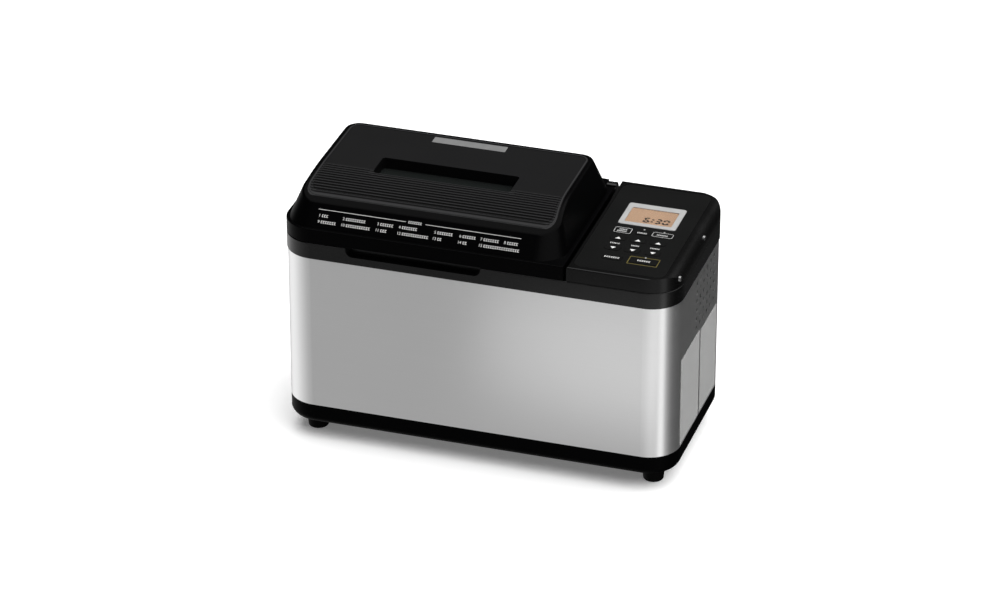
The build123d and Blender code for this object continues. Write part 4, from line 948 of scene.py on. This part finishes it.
class BREADMACHINE_OT_key_print(bpy.types.Operator):
    """Print the outlines, arrows and marks on the keys and between them, with the signal lamps"""

    bl_idname = "bread_machine.key_print"
    bl_label = "Key print"

    def execute(self, context):
        sizes = prints()
        turn = surface_turn(PANEL_NORMAL)
        white = print_ink("panel_ink", finishes().ink)

        def print_key(name, marks):
            """Lays marks on one key, each moved along and across it, and lets them ride on it."""
            for piece, dx, dy in marks:
                lay(piece, key_spot(name) + turn @ Vector((dx * MM, dy * MM, 0)), turn)
            pieces = [piece for piece, *_ in marks]
            finish_marks(name.replace("_key", "_print"), pieces, white, name)

        for name, words in KEY_WORDS.items():
            marks = []
            if name in KEY_OUTLINES:
                length, across = (size * MM for size in KEY_OUTLINES[name])
                stroke = KEY_OUTLINE_STROKE * sizes.stroke
                outline = flat_frame("outline", length, across, KEY_OUTLINE_CORNER, stroke, INK)
                marks.append((outline, 0, 0))
            for length, height, dx, dy in words:
                marks.append((flat_words("words", length * MM, height * MM, INK), dx, dy))
            print_key(name, marks)
        for column in ARROW_COLUMNS:
            for way in ("up", "down"):
                arrow = flat_arrow("arrow", sizes.arrow, ARROW_DEPTH * sizes.arrow, way == "up", INK)
                print_key(f"{column}_{way}_key", [(arrow, 0, 0)])

        marks = []
        for dx, length in PANEL_WORDS:
            words = flat_words("words", length * MM, PANEL_WORD_HEIGHT * MM, INK)
            lay(words, panel_spot(dx, PANEL_WORDS_Y), turn)
            marks.append(words)
        finish_marks("panel_marks", marks, white, "housing")

        stroke = START_OUTLINE_STROKE * sizes.stroke
        outline = flat_frame("start_outline", *START_OUTLINE_SIZE, START_OUTLINE_CORNER, stroke, INK)
        lay(outline, panel_spot(*START_OUTLINE_PLACE), turn)
        yellow = print_ink("start_ink", finishes().start_ink)
        finish_marks("start_outline", [outline], yellow, "housing")

        lamps = []
        for dx, y in LAMP_PLACES:
            lamp = flat_disc("lamp", sizes.lamp / 2, 2 * INK)
            lay(lamp, panel_spot(dx, y), turn)
            lamps.append(lamp)
        finish_marks("signal_lamps", lamps, print_ink("lamp_pale", (0.42, 0.42, 0.41)), "housing")
        return {"FINISHED"}


class BREADMACHINE_OT_digits(bpy.types.Operator):
    """Show a time in seven-segment digits on the display"""

    bl_idname = "bread_machine.digits"
    bl_label = "Display digits"

    def execute(self, context):
        sizes = prints()
        turn = surface_turn(PANEL_NORMAL)
        height = sizes.digit_height
        bar = DIGIT_BAR * height
        across = DIGIT_WIDTH * height
        lean = math.tan(sizes.digit_slant)
        marks = []

        def put(piece, x, y):
            """Lays a mark on the display, leaning with the others."""
            spot_x = DISPLAY_MIDDLE.x + TIME_X + x + lean * y
            spot_y = DISPLAY_MIDDLE.y + TIME_Y + y
            lay(piece, Vector((spot_x, spot_y, panel_height(DISPLAY_HIGH, spot_y))), turn)
            marks.append(piece)

        def segment(level):
            """One segment of a digit, level or upright."""
            size = (across - bar, bar) if level else (bar, height / 2 - bar)
            return flat_plate("segment", *size, SEGMENT_ROUNDING * bar, INK, segments=2)

        # Each segment's place in its digit and whether it lies level, in the order of DIGITS
        half = height / 2 - bar / 2
        quarter = height / 4
        side = across / 2 - bar / 4
        places = (
            (0, half, True), (-side, quarter, False), (side, quarter, False), (0, 0, True),
            (-side, -quarter, False), (side, -quarter, False), (0, -half, True),
        )
        for digit, x in TIME_DIGITS:
            for lit, (dx, y, level) in zip(DIGITS[digit], places):
                if lit == "1":
                    put(segment(level), x + dx, y)
        for y in (-COLON_RISE * height, COLON_RISE * height):
            put(flat_plate("colon", bar, bar, 0, INK), COLON_PLACE, y)
        finish_marks("display_digits", marks, print_ink("digit_dark", (0.006, 0.005, 0.004)), "housing")
        return {"FINISHED"}


def pale_floor(name, colour):
    """A wide pale floor with a faint glow of its own, which shiny pieces don't mirror."""
    bpy.ops.object.select_all(action="DESELECT")
    bpy.ops.mesh.primitive_plane_add(size=FLOOR_SIZE)
    floor = bpy.context.object
    floor.name = name
    floor.visible_glossy = False
    paper = Finish("floor_paper", colour, roughness=0.9, specular=0.1)
    fibres = paper.noise(4, detail=2)
    paper.put("Base Color", paper.blend(fibres, shade(colour, 0.99), colour))
    paper.put("Emission Color", opaque(grey(1)))
    paper.put("Emission Strength", FLOOR_GLOW)
    floor.data.materials.append(paper.material)


def direction(azimuth, elevation):
    """The direction from the machine to a viewer or a light, turned from the front towards the right."""
    level = math.cos(elevation)
    return Vector((math.sin(azimuth) * level, -math.cos(azimuth) * level, math.sin(elevation)))


def aim(back):
    """The turn of a light or a camera that looks against a direction."""
    return (-back).to_track_quat("-Z", "Y").to_euler()


def soft_sun(name, strength):
    """A wide soft light from far off."""
    bpy.ops.object.light_add(type="SUN")
    light = bpy.context.object
    light.name = name
    light.data.angle = SUN_SPREAD
    light.data.energy = strength
    back = direction(SUN_AZIMUTH, SUN_ELEVATION)
    light.location = SUN_DISTANCE * back
    light.rotation_euler = aim(back)


def low_card(name, power):
    """A faint card that glows upwards from the floor before the machine, hidden from the camera."""
    bpy.ops.object.light_add(type="AREA", location=CARD_PLACE, rotation=(math.pi, 0, 0))
    light = bpy.context.object
    light.name = name
    light.visible_camera = False
    light.data.shape = "ELLIPSE"
    light.data.size, light.data.size_y = CARD_SIZE
    light.data.energy = power


def studio_world(scene, strength):
    """Surroundings: pale walls of uneven brightness, dim overhead, with one bright strip."""
    world = bpy.data.worlds.new("studio")
    scene.world = world
    world.use_nodes = True
    studio = Nodes(world.node_tree)
    x, y, z = studio.split(studio.node("ShaderNodeTexCoord").outputs["Generated"])
    turn = studio.math("ARCTAN2", x, studio.math("MULTIPLY", y, -1))
    ramp = studio.node("ShaderNodeValToRGB", {"Fac": studio.spread(turn, 0.0, 1.0, -math.pi, math.pi)})
    stops = ramp.color_ramp.elements
    # The first and the last stop are there from the start
    for angle, _ in WALL_LEVELS[1:-1]:
        stops.new((angle + 180) / 360)
    for stop, (_, level) in zip(stops, WALL_LEVELS):
        stop.color = opaque(grey(level))
    overhead = studio.spread(z, 0.0, 1.0, *WALLS_END)
    walls = studio.blend(overhead, ramp.outputs["Color"], grey(UPPER_LEVEL))
    strip = studio.math("MULTIPLY", studio.near(turn, *STRIP_TURN), studio.near(z, *STRIP_HEIGHT))
    background = world.node_tree.nodes["Background"]
    studio.set(background, "Color", studio.blend(strip, walls, grey(STRIP_LEVEL)))
    studio.set(background, "Strength", strength)


def aimed_camera(name, stage):
    """A camera at the stage's direction and distance from the point that it looks at."""
    bpy.ops.object.camera_add()
    camera = bpy.context.object
    camera.name = name
    camera.data.sensor_width = SENSOR_WIDTH
    camera.data.lens = stage.lens
    camera.data.clip_end = CAMERA_REACH
    back = direction(stage.azimuth, stage.elevation)
    camera.location = Vector(stage.target) + back * stage.distance
    camera.rotation_euler = aim(back)
    return camera


class BREADMACHINE_OT_stage(bpy.types.Operator):
    """Set up the floor, the lights, the surroundings and the camera"""

    bl_idname = "bread_machine.stage"
    bl_label = "Stage"

    def execute(self, context):
        stage = context.scene.bread_machine_stage
        pale_floor("floor", stage.floor)
        soft_sun("top_light", stage.sun_strength)
        low_card("front_card", stage.card_power)
        studio_world(context.scene, stage.surroundings)
        bpy.context.scene.camera = aimed_camera("camera", stage)
        context.scene.view_settings.view_transform = "Standard"
        return {"FINISHED"}


OPERATORS = (
    BREADMACHINE_OT_casing,
    BREADMACHINE_OT_side,
    BREADMACHINE_OT_lid,
    BREADMACHINE_OT_panel,
    BREADMACHINE_OT_inside,
    BREADMACHINE_OT_course_list,
    BREADMACHINE_OT_key_print,
    BREADMACHINE_OT_digits,
    BREADMACHINE_OT_stage,
)


class BREADMACHINE_PT_sidebar(bpy.types.Panel):
    """The machine's settings and the steps that build its looks"""

    bl_idname = "BREADMACHINE_PT_sidebar"
    bl_label = "Bread Machine"
    bl_space_type = "VIEW_3D"
    bl_region_type = "UI"
    bl_category = "Bread Machine"

    def draw(self, context):
        for settings in (finishes(), prints(), context.scene.bread_machine_stage):
            for name in settings.__annotations__:
                self.layout.prop(settings, name)
        for operator in OPERATORS:
            self.layout.operator(operator.bl_idname)


CLASSES = (FinishSettings, PrintSettings, StageSettings, *OPERATORS, BREADMACHINE_PT_sidebar)


def register():
    """Registers the classes and the scene's settings."""
    for cls in CLASSES:
        bpy.utils.register_class(cls)
    bpy.types.Scene.bread_machine_finish = PointerProperty(type=FinishSettings)
    bpy.types.Scene.bread_machine_print = PointerProperty(type=PrintSettings)
    bpy.types.Scene.bread_machine_stage = PointerProperty(type=StageSettings)


def unregister():
    """Removes the scene's settings and the classes."""
    del bpy.types.Scene.bread_machine_stage
    del bpy.types.Scene.bread_machine_print
    del bpy.types.Scene.bread_machine_finish
    for cls in reversed(CLASSES):
        bpy.utils.unregister_class(cls)


def main():
    """Builds the looks of the machine."""
    register()
    for operator in OPERATORS:
        group, step = operator.bl_idname.split(".")
        getattr(getattr(bpy.ops, group), step)()


if __name__ == "__main__":
    main()
